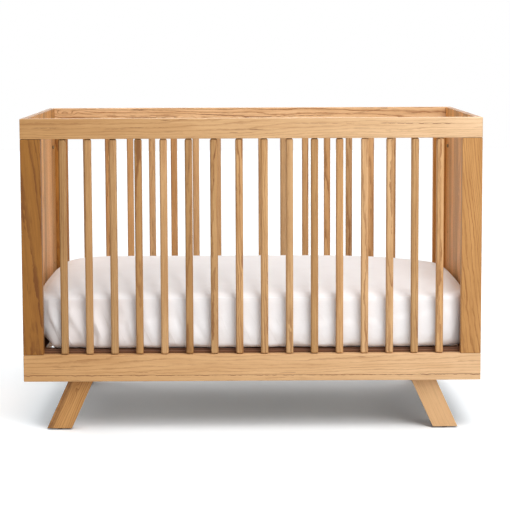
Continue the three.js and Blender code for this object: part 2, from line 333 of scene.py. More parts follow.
# ---- Finishes ----------------------------------------------------------------------------------
@dataclass(frozen=True)
class Streak:
    """A dark line in the wood, seen from the crib's front.

    Args:
        start: One end, as X and Z.
        finish: The other end, as X and Z.
        half_width: Half its width.
        depth: How dark it is, from 0 to 1.
        broken: How far it breaks into dashes, from 0 to 1.
    """

    start: tuple[float, float]
    finish: tuple[float, float]
    half_width: float
    depth: float
    broken: float = 0.75


@dataclass(frozen=True)
class Knot:
    """A knot that the growth rings bend round.

    Args:
        place: Its middle on the crib.
        reach: How far it bends the grain along X, Y and Z.
        push: How far the rings are pushed, in millimetres.
    """

    place: Place
    reach: Place
    push: float


@dataclass(frozen=True)
class Finish(ABC):
    """A finish that makes its own material."""

    name: str

    def material(self) -> bpy.types.Material:
        """Makes the material."""
        made = bpy.data.materials.new(self.name)
        self.dress(NodeTree(made))
        return made

    @abstractmethod
    def dress(self, nodes: NodeTree) -> None:
        """Adds the finish's nodes to an empty tree."""


@dataclass(frozen=True)
class Oak(Finish):
    """Oiled oak: growth rings round a heart, pores, fibres, patches, knots and dark streaks.

    A piece carries its place in the log as "grain", its tone, warmth and mineral as "stain", and how
    plainly its rings show as "figure".
    """

    name: str = "oiled_oak"
    pale: Colour = (0.820, 0.540, 0.300)
    honey: Colour = (0.560, 0.320, 0.148)
    brown: Colour = (0.300, 0.125, 0.040)
    mineral: Colour = (0.150, 0.055, 0.020)
    ring: float = 4.2
    taper: float = 0.008
    streaks: tuple[Streak, ...] = ()
    knots: tuple[Knot, ...] = ()

    def dress(self, nodes: NodeTree) -> None:
        """Adds the nodes."""
        place = nodes.vector("MULTIPLY", nodes.attribute("grain"), (1000.0,) * 3)
        tone, warmth, streakiness = nodes.split(nodes.attribute("stain"))
        figure = nodes.amount("figure")
        core = self._knots(nodes)
        early, share = self._rings(nodes, place, core)
        pores = self._pores(nodes, place, early)
        fibre = nodes.noise(place, (110.0, 2.6, 2.6), 3.0, 0.62)
        line = nodes.noise(place, (150.0, 6.0, 6.0), 2.0, 0.6)
        band = nodes.noise(place, (420.0, 17.0, 17.0), 1.0)
        patch = nodes.noise(place, (150.0, 46.0, 46.0), 2.0)
        body = band.between(0.3, 0.7) * 0.28 + line.between(0.30, 0.70) * 0.24
        body = body + fibre.between(0.28, 0.72) * 0.26 + patch.between(0.3, 0.7) * 0.22
        body = 0.5 + (body - 0.5) * (0.45 + figure * 0.90)
        colour = nodes.blend(body, self.honey, self.pale)
        colour = nodes.blend((early * share * figure).least(0.80), colour, self.brown)
        colour = nodes.blend(line.between(0.62, 0.76) * figure * 0.22, colour, self.brown)
        colour = nodes.blend(pores * (0.24 + figure * 0.26), colour, self.brown)
        dark = self._mineral(nodes, place) * streakiness
        for streak in self.streaks:
            dark = dark.most(self._streak(nodes, streak))
        colour = nodes.blend(dark, colour, self.mineral)
        tint = nodes.combine(
            tone,
            tone**1.12 * (1.0 - warmth * 0.14),
            tone**1.50 * (1.0 - warmth * 0.35),
        )
        colour = nodes.vector("MULTIPLY", colour, tint)
        height = fibre * 0.35 - pores * 0.8 - early * 0.15 - dark * 0.3
        nodes.surface(
            Base_Color=colour,
            Roughness=0.46 + fibre * 0.14 + pores * 0.15,
            Specular_IOR_Level=0.30,
            Normal=nodes.bump(height, 0.00020, 0.8),
        )

    def _knots(self, nodes: NodeTree) -> Signal | None:
        """The push of all the knots on the rings.

        Args:
            nodes: The material's nodes.

        Returns:
            How far the rings are pushed at a point, in millimetres, or None without knots.
        """
        pushed = None
        for knot in self.knots:
            away = nodes.vector("SUBTRACT", nodes.object_place(), knot.place)
            scaled = nodes.vector("DIVIDE", away, knot.reach)
            push = nodes.vector("LENGTH", scaled, output=1).between(0.0, 1.0, knot.push, 0.0)
            pushed = push if pushed is None else pushed + push
        return pushed

    def _rings(self, nodes: NodeTree, place: Signal, pushed: Signal | None) -> tuple[Signal, Signal]:
        """The growth rings.

        Args:
            nodes: The material's nodes.
            place: The place in the log, in millimetres.
            pushed: How far knots push the rings, or None.

        Returns:
            How far into the open early wood a point is, and how plainly the rings show there.
        """
        along, behind, beside = nodes.split(place)
        bend = nodes.noise(place, (800.0, 130.0, 130.0), 1.0)
        wander = nodes.noise(place, (150.0, 30.0, 30.0), 2.0)
        quiver = nodes.noise(place, (26.0, 7.0, 7.0), 2.0)
        radius = (behind * behind + beside * beside) ** 0.5
        radius = radius + along * self.taper + bend * 24.0 + wander * 7.0 + quiver * 2.2
        if pushed is not None:
            radius = radius + pushed
        spread = nodes.noise(nodes.combine(radius, 0.0, 0.0), (23.0, 23.0, 23.0), 1.0)
        turn = (radius / self.ring + spread * 2.6).part()
        early = turn.between(0.0, 0.07) * turn.between(0.10, 0.44, 1.0, 0.0)
        share = nodes.noise(place, (230.0, 18.0, 18.0), 2.0).between(0.32, 0.66, 0.35, 1.0)
        return early, share

    @staticmethod
    def _pores(nodes: NodeTree, place: Signal, early: Signal) -> Signal:
        """Short dark pores along the grain, most of them in the early wood.

        Args:
            nodes: The material's nodes.
            place: The place in the log, in millimetres.
            early: How far into the early wood a point is.

        Returns:
            How dark the pores are.
        """
        fine = nodes.noise(place, (9.0, 0.42, 0.42), 1.0).between(0.58, 0.70)
        long = nodes.noise(place, (42.0, 2.2, 2.2), 2.0).between(0.55, 0.70)
        return fine * (early * 0.75 + 0.25) + long * (early * 0.45 + 0.35)

    @staticmethod
    def _mineral(nodes: NodeTree, place: Signal) -> Signal:
        """Sparse dark dashes along the grain.

        Args:
            nodes: The material's nodes.
            place: The place in the log, in millimetres.

        Returns:
            How dark the dashes are.
        """
        line = nodes.noise(place, (230.0, 3.6, 3.6), 1.0).between(0.665, 0.74)
        broken = nodes.noise(place, (30.0, 4.0, 4.0), 2.0).between(0.44, 0.60)
        return line * broken

    @staticmethod
    def _streak(nodes: NodeTree, streak: Streak) -> Signal:
        """One dark line between two places, swaying a little and broken into dashes.

        Args:
            nodes: The material's nodes.
            streak: The line.

        Returns:
            How dark the line is.
        """
        x, _, z = nodes.split(nodes.object_place())
        run = Vector(streak.finish) - Vector(streak.start)
        way = run.normalized()
        right, up = x - streak.start[0], z - streak.start[1]
        along = right * way.x + up * way.y
        uneven = nodes.noise(nodes.combine(along, 0.0, streak.start[1]), (0.020, 1.0, 1.0), 3.0)
        sway = (uneven - 0.5) * min(4.0 * streak.half_width, 0.008)
        away = (right * way.y - up * way.x - sway).size()
        line = away.between(streak.half_width * 0.3, streak.half_width, 1.0, 0.0)
        ends = along.between(0.0, 0.02) * along.between(run.length - 0.02, run.length, 1.0, 0.0)
        return line * ends * uneven.between(0.40, 0.55, 1.0 - streak.broken, 1.0) * streak.depth


@dataclass(frozen=True)
class Cotton(Finish):
    """White percale: a fine plain weave with faint slubs and soft creases, with painted shade in its creases and
    towards its left end and a painted highlight along its welt.
    """

    name: str = "white_percale"
    white: Colour = (0.898, 0.908, 0.934)
    hollow: Colour = (0.820, 0.804, 0.810)
    # painted shade: the darker, warmer colour of the sheet's sides towards its left end
    washed: Colour = (0.775, 0.730, 0.722)
    thread: float = 0.0006
    welt_height: float = 0.3975
    welt_width: float = 0.0022
    front: float = -0.340
    pull_slant: float = 0.46
    pull_pitch: float = 0.034

    def dress(self, nodes: NodeTree) -> None:
        """Adds the nodes."""
        place = nodes.object_place()
        x, y, z = nodes.split(place)
        turn = math.tau / self.thread
        weave = ((x + z) * turn).sine() * ((y + z) * turn).sine()
        slub = nodes.noise(place, (0.012, 0.0012, 0.004), 2.0)
        cloud = nodes.noise(place, (0.11, 0.07, 0.06), 3.0, 0.6)
        crease = nodes.noise(place, (0.030, 0.030, 0.055), 3.0, 0.55)
        # the welt along the top front edge: a raised line in the bump, and a painted highlight in the colour
        edge = (z - self.welt_height).size().between(0.0, self.welt_width, 1.0, 0.0)
        welt_and_painted_highlight = edge * y.between(self.front + 0.004, self.front, 0.0, 1.0)
        sway = nodes.noise(place, (0.16, 0.10, 0.13), 1.0)
        pull = (x + z * self.pull_slant + sway * 0.05) / self.pull_pitch
        ridge = ((pull.part() - 0.5).size() * -2.0 + 1.0) ** 9.0
        number = pull - pull.part()
        chance = nodes.noise(nodes.combine(number * 0.7, 0.0, z * 9.0), (1.0, 1.0, 1.0), 1.0)
        taken = chance.between(0.46, 0.60)
        reach = x.between(-0.62, -0.18, 1.0, 0.25).most(0.0) * z.between(0.385, 0.36)
        pulls = ridge * taken * reach * y.between(self.front + 0.030, self.front + 0.022)
        # a lower share gives the hollow colour: cloudy tone and slubs, plus painted shade along the pull
        # creases; the welt adds a painted highlight line
        share = cloud * 0.6 + slub * 0.4 + welt_and_painted_highlight * 0.6 - pulls * 0.5
        # painted shade: the sheet's sides turn darker and warmer towards the left end, below the top edge, by
        # the post and the end panel
        wear_and_painted_shade = x.between(-0.20, -0.46) * x.between(-0.62, -0.52) * z.between(0.404, 0.388) * 0.9
        height = weave * 0.03 + crease * 0.9 + slub * 0.05 + welt_and_painted_highlight * 0.9 + pulls * 1.6
        nodes.surface(
            Base_Color=nodes.blend(wear_and_painted_shade, nodes.blend(share, self.hollow, self.white), self.washed),
            Roughness=0.80 + slub * 0.12,
            Specular_IOR_Level=0.25,
            Sheen_Weight=0.12,
            Sheen_Roughness=0.5,
            Normal=nodes.bump(height, 0.0016, 0.55),
        )


@dataclass(frozen=True)
class Ticking(Finish):
    """Cream mattress ticking in a close herringbone."""

    name: str = "cream_ticking"
    light: Colour = (0.76, 0.73, 0.67)
    shade: Colour = (0.62, 0.585, 0.52)
    rib: float = 0.0032

    def dress(self, nodes: NodeTree) -> None:
        """Adds the nodes."""
        place = nodes.object_place()
        x, y, z = nodes.split(place)
        zigzag = ((x / (8.0 * self.rib)).part() - 0.5).size() * 8.0 * self.rib
        rib = ((y + z + zigzag) * (math.tau / self.rib)).sine() * 0.5 + 0.5
        slub = nodes.noise(place, (0.02, 0.004, 0.02), 3.0)
        nodes.surface(
            Base_Color=nodes.blend(rib * 0.7 + slub * 0.3, self.shade, self.light),
            Roughness=0.86 + slub * 0.1,
            Specular_IOR_Level=0.2,
            Normal=nodes.bump(rib * 0.7 + slub * 0.3, 0.0004, 0.6),
        )


@dataclass(frozen=True)
class Steel(Finish):
    """Steel with a coat or a bright face, and rub marks that show the metal."""

    face: Colour
    rubbed: Colour
    metal: float
    rough: float
    grain: float

    def dress(self, nodes: NodeTree) -> None:
        """Adds the nodes."""
        place = nodes.object_place()
        peel = nodes.noise(place, (self.grain,) * 3, 2.0)
        rub = nodes.noise(place, (0.030, 0.022, 0.018), 4.0, 0.65).between(0.58, 0.72)
        nodes.surface(
            Base_Color=nodes.blend(rub * 0.5 + peel * 0.12, self.face, self.rubbed),
            Metallic=self.metal,
            Roughness=self.rough + peel * 0.14 - rub * 0.08,
            Normal=nodes.bump(peel, 0.00010, 0.5),
        )


@dataclass(frozen=True)
class Nylon(Finish):
    """Dark moulded nylon, scuffed where it slides."""

    name: str = "dark_nylon"
    body: Colour = (0.034, 0.022, 0.015)
    scuffed: Colour = (0.11, 0.085, 0.065)

    def dress(self, nodes: NodeTree) -> None:
        """Adds the nodes."""
        place = nodes.object_place()
        z = nodes.split(place)[2]
        grit = nodes.noise(place, (0.0012, 0.0012, 0.0012), 3.0, 0.6)
        wear_and_painted_shade = z.between(0.0002, 0.0022, 1.0, 0.0) * grit.between(0.4, 0.6)
        nodes.surface(
            Base_Color=nodes.blend(wear_and_painted_shade, self.body, self.scuffed),
            Roughness=0.45 + grit * 0.3,
            Normal=nodes.bump(grit, 0.00008, 0.6),
        )


STREAKS: dict[str, tuple[Streak, ...]] = {
    "front_top_rail": (
        Streak((0.375, 0.9225), (0.605, 0.9200), 0.0016, 0.85, 0.6),
        Streak((0.120, 0.9215), (0.330, 0.9220), 0.0013, 0.35, 0.9),
        Streak((-0.650, 0.9116), (-0.560, 0.9112), 0.0014, 0.65, 0.7),
        Streak((-0.440, 0.9080), (-0.365, 0.9075), 0.0014, 0.60, 0.7),
        Streak((-0.272, 0.9321), (-0.232, 0.9320), 0.0016, 0.80, 0.3),
    ),
    "front_bottom_rail": (
        Streak((-0.700, 0.1716), (-0.480, 0.1712), 0.0018, 0.75, 0.35),
        Streak((-0.510, 0.1712), (0.500, 0.1702), 0.0016, 0.85, 0.55),
        Streak((0.490, 0.1711), (0.700, 0.1705), 0.0019, 0.90, 0.40),
    ),
    # the left leg's wide streak along its outer edge is partly a dark heartwood streak, partly painted shade of
    # the leg's shaded outer side
    "front_left_leg": (Streak((-0.536, 0.1700), (-0.616, -0.0100), 0.0120, 0.60, 0.2),),
    "rear_top_rail": (
        Streak((-0.610, 0.9070), (-0.500, 0.9060), 0.0022, 0.60, 0.4),
        Streak((-0.420, 0.9050), (-0.240, 0.9085), 0.0022, 0.65, 0.4),
        Streak((-0.410, 0.9330), (-0.352, 0.9310), 0.0036, 0.65, 0.2),
        Streak((-0.180, 0.9170), (0.060, 0.9060), 0.0026, 0.65, 0.3),
        Streak((-0.030, 0.9065), (0.290, 0.9130), 0.0022, 0.60, 0.5),
        Streak((0.340, 0.9160), (0.470, 0.9350), 0.0020, 0.45, 0.5),
    ),
}
KNOTS: dict[str, tuple[Knot, ...]] = {
    "rear_top_rail": (
        Knot((-0.630, 0.353, 0.921), (0.050, 0.06, 0.016), 9.0),
        Knot((-0.210, 0.353, 0.900), (0.060, 0.06, 0.016), 8.0),
    ),
    "rear_left_post": (Knot((-0.650, 0.353, 0.517), (0.014, 0.06, 0.050), 8.0),),
    "front_left_leg": (Knot((-0.531, -0.353, 0.127), (0.012, 0.06, 0.026), 6.0),),
}


STEELS = (
    Steel("brown_powder_coat", (0.138, 0.052, 0.020), (0.22, 0.11, 0.06), 0.2, 0.45, 0.0011),
    Steel("zinc_plate", (0.42, 0.42, 0.44), (0.62, 0.61, 0.58), 1.0, 0.26, 0.0008),
    Steel("bronzed_insert", (0.20, 0.145, 0.080), (0.40, 0.30, 0.17), 1.0, 0.36, 0.0007),
)


class Finishes:
    """Every finish of the crib, each made once."""

    def __init__(self) -> None:
        """Makes the materials."""
        self.oaks = {"": Oak("oiled_oak").material()}
        for node in sorted(STREAKS.keys() | KNOTS.keys()):
            oak = Oak(f"oiled_oak_{node}", streaks=STREAKS.get(node, ()), knots=KNOTS.get(node, ()))
            self.oaks[node] = oak.material()
        self.cotton = Cotton().material()
        self.ticking = Ticking().material()
        self.coat, self.zinc, self.bronze = (steel.material() for steel in STEELS)
        self.nylon = Nylon().material()

    def oak(self, node: str) -> bpy.types.Material:
        """The oak of a board, with that board's own knots and streaks."""
        return self.oaks.get(node, self.oaks[""])


# ---- Modelling ---------------------------------------------------------------------------------
class Workbench:
    """The modelling steps that the pieces share, each done with Blender's own operators."""

    def hold(self, *pieces: Piece) -> None:
        """Selects only these pieces and makes the first the active one."""
        bpy.ops.object.select_all(action="DESELECT")
        for piece in pieces:
            piece.select_set(True)
        bpy.context.view_layer.objects.active = pieces[0]

    @contextmanager
    def editing(self, piece: Piece, chosen: str = "SELECT", mode: str = "EDGE") -> Iterator[None]:
        """Opens a piece in edit mode.

        Args:
            piece: The piece.
            chosen: SELECT or DESELECT, for everything or nothing chosen at the start.
            mode: VERT, EDGE or FACE, for what is chosen.
        """
        self.hold(piece)
        bpy.ops.object.mode_set(mode="EDIT")
        bpy.ops.mesh.select_mode(type=mode)
        bpy.ops.mesh.select_all(action=chosen)
        try:
            yield
        finally:
            bpy.ops.object.mode_set(mode="OBJECT")

    def pick(self, piece: Piece, kind: str, wanted: Callable[[list[Vector]], bool]) -> None:
        """Chooses edges or faces of the piece that is open.

        Args:
            piece: The piece that is in edit mode.
            kind: "edges" or "faces".
            wanted: Says from an element's corners whether it is chosen.
        """
        mesh = bmesh.from_edit_mesh(piece.data)
        bpy.ops.mesh.select_all(action="DESELECT")
        for element in [e for e in getattr(mesh, kind) if wanted([v.co for v in e.verts])]:
            element.select_set(True)
        mesh.select_flush_mode()
        bmesh.update_edit_mesh(piece.data)

    def round_edges(
        self, piece: Piece, radius: float, steps: int, wanted: Callable[[list[Vector]], bool] | None = None
    ) -> None:
        """Rounds edges of a piece.

        Args:
            piece: The piece.
            radius: The radius of the rounding.
            steps: Faces in each rounded edge.
            wanted: Says from an edge's corners whether it is rounded; None rounds them all.
        """
        with self.editing(piece, "DESELECT" if wanted else "SELECT"):
            if wanted:
                self.pick(piece, "edges", wanted)
            bpy.ops.mesh.bevel(offset=radius, segments=steps, profile=0.5, affect="EDGES")

    def settle(self, piece: Piece) -> None:
        """Puts the object's place, turn and scale into its mesh."""
        self.hold(piece)
        bpy.ops.object.transform_apply(location=True, rotation=True, scale=True)

    def block(self, name: str, low: Place, high: Place, ease: float = 0.0, steps: int = 3) -> Piece:
        """A box between two corners, its edges rounded.

        Args:
            name: The piece's name.
            low: Its lowest corner.
            high: Its highest corner.
            ease: The radius of its edges, or 0.
            steps: Faces in each rounded edge.

        Returns:
            The new piece.
        """
        middle = (Vector(low) + Vector(high)) / 2
        bpy.ops.mesh.primitive_cube_add(size=1.0, location=middle, scale=Vector(high) - Vector(low))
        piece = bpy.context.object
        piece.name = name
        self.settle(piece)
        if ease:
            self.round_edges(piece, ease, steps)
        return piece

    def rod(
        self, name: str, radius: float, start: Place, finish: Place, sides: int = 24, ease: float = 0.0
    ) -> Piece:
        """A round bar between two points.

        Args:
            name: The piece's name.
            radius: Its radius.
            start: The middle of one end.
            finish: The middle of the other end.
            sides: How many sides it has.
            ease: The radius of its end edges, or 0.

        Returns:
            The new piece.
        """
        run = Vector(finish) - Vector(start)
        middle = (Vector(start) + Vector(finish)) / 2
        turned = run.to_track_quat("Z", "Y").to_euler()
        bpy.ops.mesh.primitive_cylinder_add(
            vertices=sides, radius=radius, depth=run.length, location=middle, rotation=turned
        )
        piece = bpy.context.object
        piece.name = name
        self.settle(piece)
        if ease:
            way = run.normalized()
            self.round_edges(piece, ease, 3, lambda ends: abs((ends[1] - ends[0]).normalized().dot(way)) < 0.1)
        return piece

    def combine(self, piece: Piece, tool: Piece, operation: str = "DIFFERENCE") -> None:
        """Cuts a tool out of a piece or joins it on, and does away with the tool.

        Args:
            piece: The piece.
            tool: The piece that cuts it or joins it.
            operation: DIFFERENCE or UNION.
        """
        step = piece.modifiers.new("combine", "BOOLEAN")
        step.operation = operation
        step.solver = "MANIFOLD"
        step.object = tool
        self.hold(piece)
        bpy.ops.object.modifier_apply(modifier=step.name)
        bpy.data.objects.remove(tool, do_unlink=True)

    def score(self, piece: Piece, across: Vector, joints: Sequence[float]) -> None:
        """Marks glue joints as edges round a board, so that each stave has its own faces.

        Args:
            piece: The board.
            across: The way in which its staves lie side by side.
            joints: Where along that way the joints are.
        """
        for joint in joints:
            with self.editing(piece):
                bpy.ops.mesh.bisect(plane_co=across * joint, plane_no=across)

    def gather(self, pieces: Sequence[Piece]) -> Piece:
        """Makes one object of several pieces; they keep their own shells.

        Args:
            pieces: The pieces.

        Returns:
            The one object, which is the first of them.
        """
        self.hold(*pieces)
        if len(pieces) > 1:
            bpy.ops.object.join()
        return bpy.context.object

    def copied(self, piece: Piece, name: str, move: Matrix) -> Piece:
        """A copy of a piece with its own mesh, moved in the mesh.

        Args:
            piece: What is copied.
            name: The copy's name.
            move: How its points are moved.

        Returns:
            The copy.
        """
        twin = piece.copy()
        twin.data = piece.data.copy()
        twin.name = name
        bpy.context.scene.collection.objects.link(twin)
        twin.data.transform(move)
        return twin

    def smooth(self, piece: Piece, angle: float = 38.0) -> None:
        """Turns faces outwards and shades rounded edges smooth and flats flat.

        Args:
            piece: The piece.
            angle: The angle between faces above which their edge stays sharp.
        """
        with self.editing(piece, mode="FACE"):
            bpy.ops.mesh.normals_make_consistent(inside=False)
        self.hold(piece)
        bpy.ops.object.shade_smooth_by_angle(angle=math.radians(angle))
        step = piece.modifiers.new("flats", "WEIGHTED_NORMAL")
        step.mode = "FACE_AREA"
        step.weight = 90
        step.keep_sharp = True
        bpy.ops.object.modifier_apply(modifier=step.name)

    def deliver(
        self, piece: Piece, material: bpy.types.Material, slot: str, body: str, nodes: Sequence[str] = ()
    ) -> Piece:
        """Dresses a finished piece and sets it on its body.

        Args:
            piece: The piece.
            material: Its finish.
            slot: The record's slot for that finish; not used.
            body: The body that it rides on.
            nodes: The frame's nodes that it stands for.

        Returns:
            The same piece.
        """
        piece.data.materials.clear()
        piece.data.materials.append(material)
        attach(piece, body)
        if nodes:
            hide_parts(*nodes)
        LOG.info("%s: %d faces on %s", piece.name, len(piece.data.polygons), body)
        return piece


# ---- Timber ------------------------------------------------------------------------------------
@dataclass(frozen=True)
class Cut:
    """Where in its log a piece of wood was sawn, and how it turned out.

    Args:
        grain: The way that the grain runs.
        face: The way that its show face looks.
        sawn: How it lay in the log.
        tone: Its brightness beside the finish's own.
        warmth: How red it is, about 0.
        streak: How strongly mineral shows, from 0 to 1.
        figure: How plainly the rings show, from 0 to 1.
        drift: How much brighter the piece is at the far end of its grain than at the near one.
    """

    grain: Vector
    face: Vector
    sawn: Sawn = Sawn.RIFT
    tone: float = 1.0
    warmth: float = 0.0
    streak: float = 0.5
    figure: float = 0.5
    drift: float = 0.0


class Timber:
    """Marks pieces with the place that each had in its log."""

    drift_warmth: ClassVar[float] = 3.0
    end_grain: ClassVar[float] = 0.50
    rear_tone: ClassVar[float] = -0.04
    rear_warmth: ClassVar[float] = 0.20
    rear_from: ClassVar[float] = 0.62
    rear_over: ClassVar[float] = 0.20
    strip_figure: ClassVar[float] = 0.35
    end_cosine: ClassVar[float] = 0.7
    glued_spread: ClassVar[float] = 0.22
    plain_spread: ClassVar[float] = 0.035
    glued_warmth: ClassVar[float] = 0.14
    plain_warmth: ClassVar[float] = 0.5

    def mark(self, piece: Piece, cut: Cut, across: Vector = Z_AXIS, joints: Sequence[float] = ()) -> None:
        """Writes the grain, stain and figure of a piece, stave by stave.

        Args:
            piece: The piece of wood.
            cut: How it was sawn; staves vary round it.
            across: The way in which the staves lie side by side.
            joints: Where along that way the glue joints are.
        """
        mesh = piece.data
        corners = np.empty(len(mesh.loops), dtype=np.int64)
        mesh.loops.foreach_get("vertex_index", corners)
        points = np.empty(len(mesh.vertices) * 3)
        mesh.vertices.foreach_get("co", points)
        places = points.reshape(-1, 3)[corners]
        owner = np.zeros(len(corners), dtype=np.int64)
        for face in mesh.polygons:
            stave = sum(face.center.dot(across) > joint for joint in joints)
            owner[face.loop_start : face.loop_start + face.loop_total] = stave
        middle = (places.min(axis=0) + places.max(axis=0)) / 2
        run = (places - middle) @ np.array(cut.grain)
        share = run / max(run.max() - run.min(), 1e-6)
        grain = np.zeros((len(corners), 3))
        stain = np.zeros((len(corners), 3))
        for stave in range(len(joints) + 1):
            chosen = owner == stave
            place, tint = self._lay(f"{piece.name}.{stave}", cut, len(joints) > 1)
            if len(joints) > 1:
                behind = unit((stave / len(joints) - self.rear_from) / self.rear_over)
                tone, warmth, streak = tint
                tint = (tone * (1.0 - self.rear_tone * behind), warmth + self.rear_warmth * behind, streak)
            local = places[chosen] - middle
            beside = cut.grain.cross(cut.face)
            rows = [local @ np.array(way) for way in (cut.grain, cut.face, beside)]
            grain[chosen] = np.stack(rows, axis=1) + np.array(place)
            stain[chosen] = tint
        stain[:, 0] *= 1.0 + cut.drift * share
        for face in mesh.polygons:
            if abs(face.normal.dot(cut.grain)) > self.end_cosine:
                stain[face.loop_start : face.loop_start + face.loop_total, 0] *= self.end_grain
        stain[:, 1] -= cut.drift * share * self.drift_warmth
        for name, rows in (("grain", grain), ("stain", stain)):
            layer = mesh.attributes.new(name, "FLOAT_VECTOR", "CORNER")
            layer.data.foreach_set("vector", rows.astype(np.float32).ravel())
        plainness = np.full(len(corners), cut.figure, dtype=np.float32)
        if len(joints) == 1:
            plainness[owner == 0] *= self.strip_figure
        figure = mesh.attributes.new("figure", "FLOAT", "CORNER")
        figure.data.foreach_set("value", plainness)

    def _lay(self, name: str, cut: Cut, glued: bool) -> tuple[Place, Place]:
        """Draws how a piece or stave turned out.

        Args:
            name: Its name, which sets what is drawn.
            cut: How the board was sawn.
            glued: Whether it is one of many staves.

        Returns:
            Where it lay in its log, and its tone, warmth and streaks.
        """
        chance = random.Random(zlib.crc32(name.encode()))
        behind, beside = cut.sawn.value
        way = chance.choice((-1.0, 1.0))
        place = (
            chance.uniform(-20.0, 20.0),
            behind * chance.uniform(0.8, 1.25),
            beside * way * chance.uniform(0.75, 1.3),
        )
        spread = self.glued_spread if glued else self.plain_spread
        warmer = self.glued_warmth if glued else self.plain_warmth
        change = chance.uniform(-spread, spread)
        tint = (
            cut.tone * (1.0 + change),
            cut.warmth + change * 0.6 + chance.uniform(-0.5, 0.5) * warmer,
            cut.streak * chance.uniform(0.6, 1.0),
        )
        return place, tint


@dataclass
class SubAssembly:
    """What every sub-assembly works with."""

    bench: Workbench
    timber: Timber
    finishes: Finishes

    def node_box(self, node: str) -> tuple[Vector, Vector]:
        """The lowest and highest corner of a node of the frame."""
        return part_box(node)


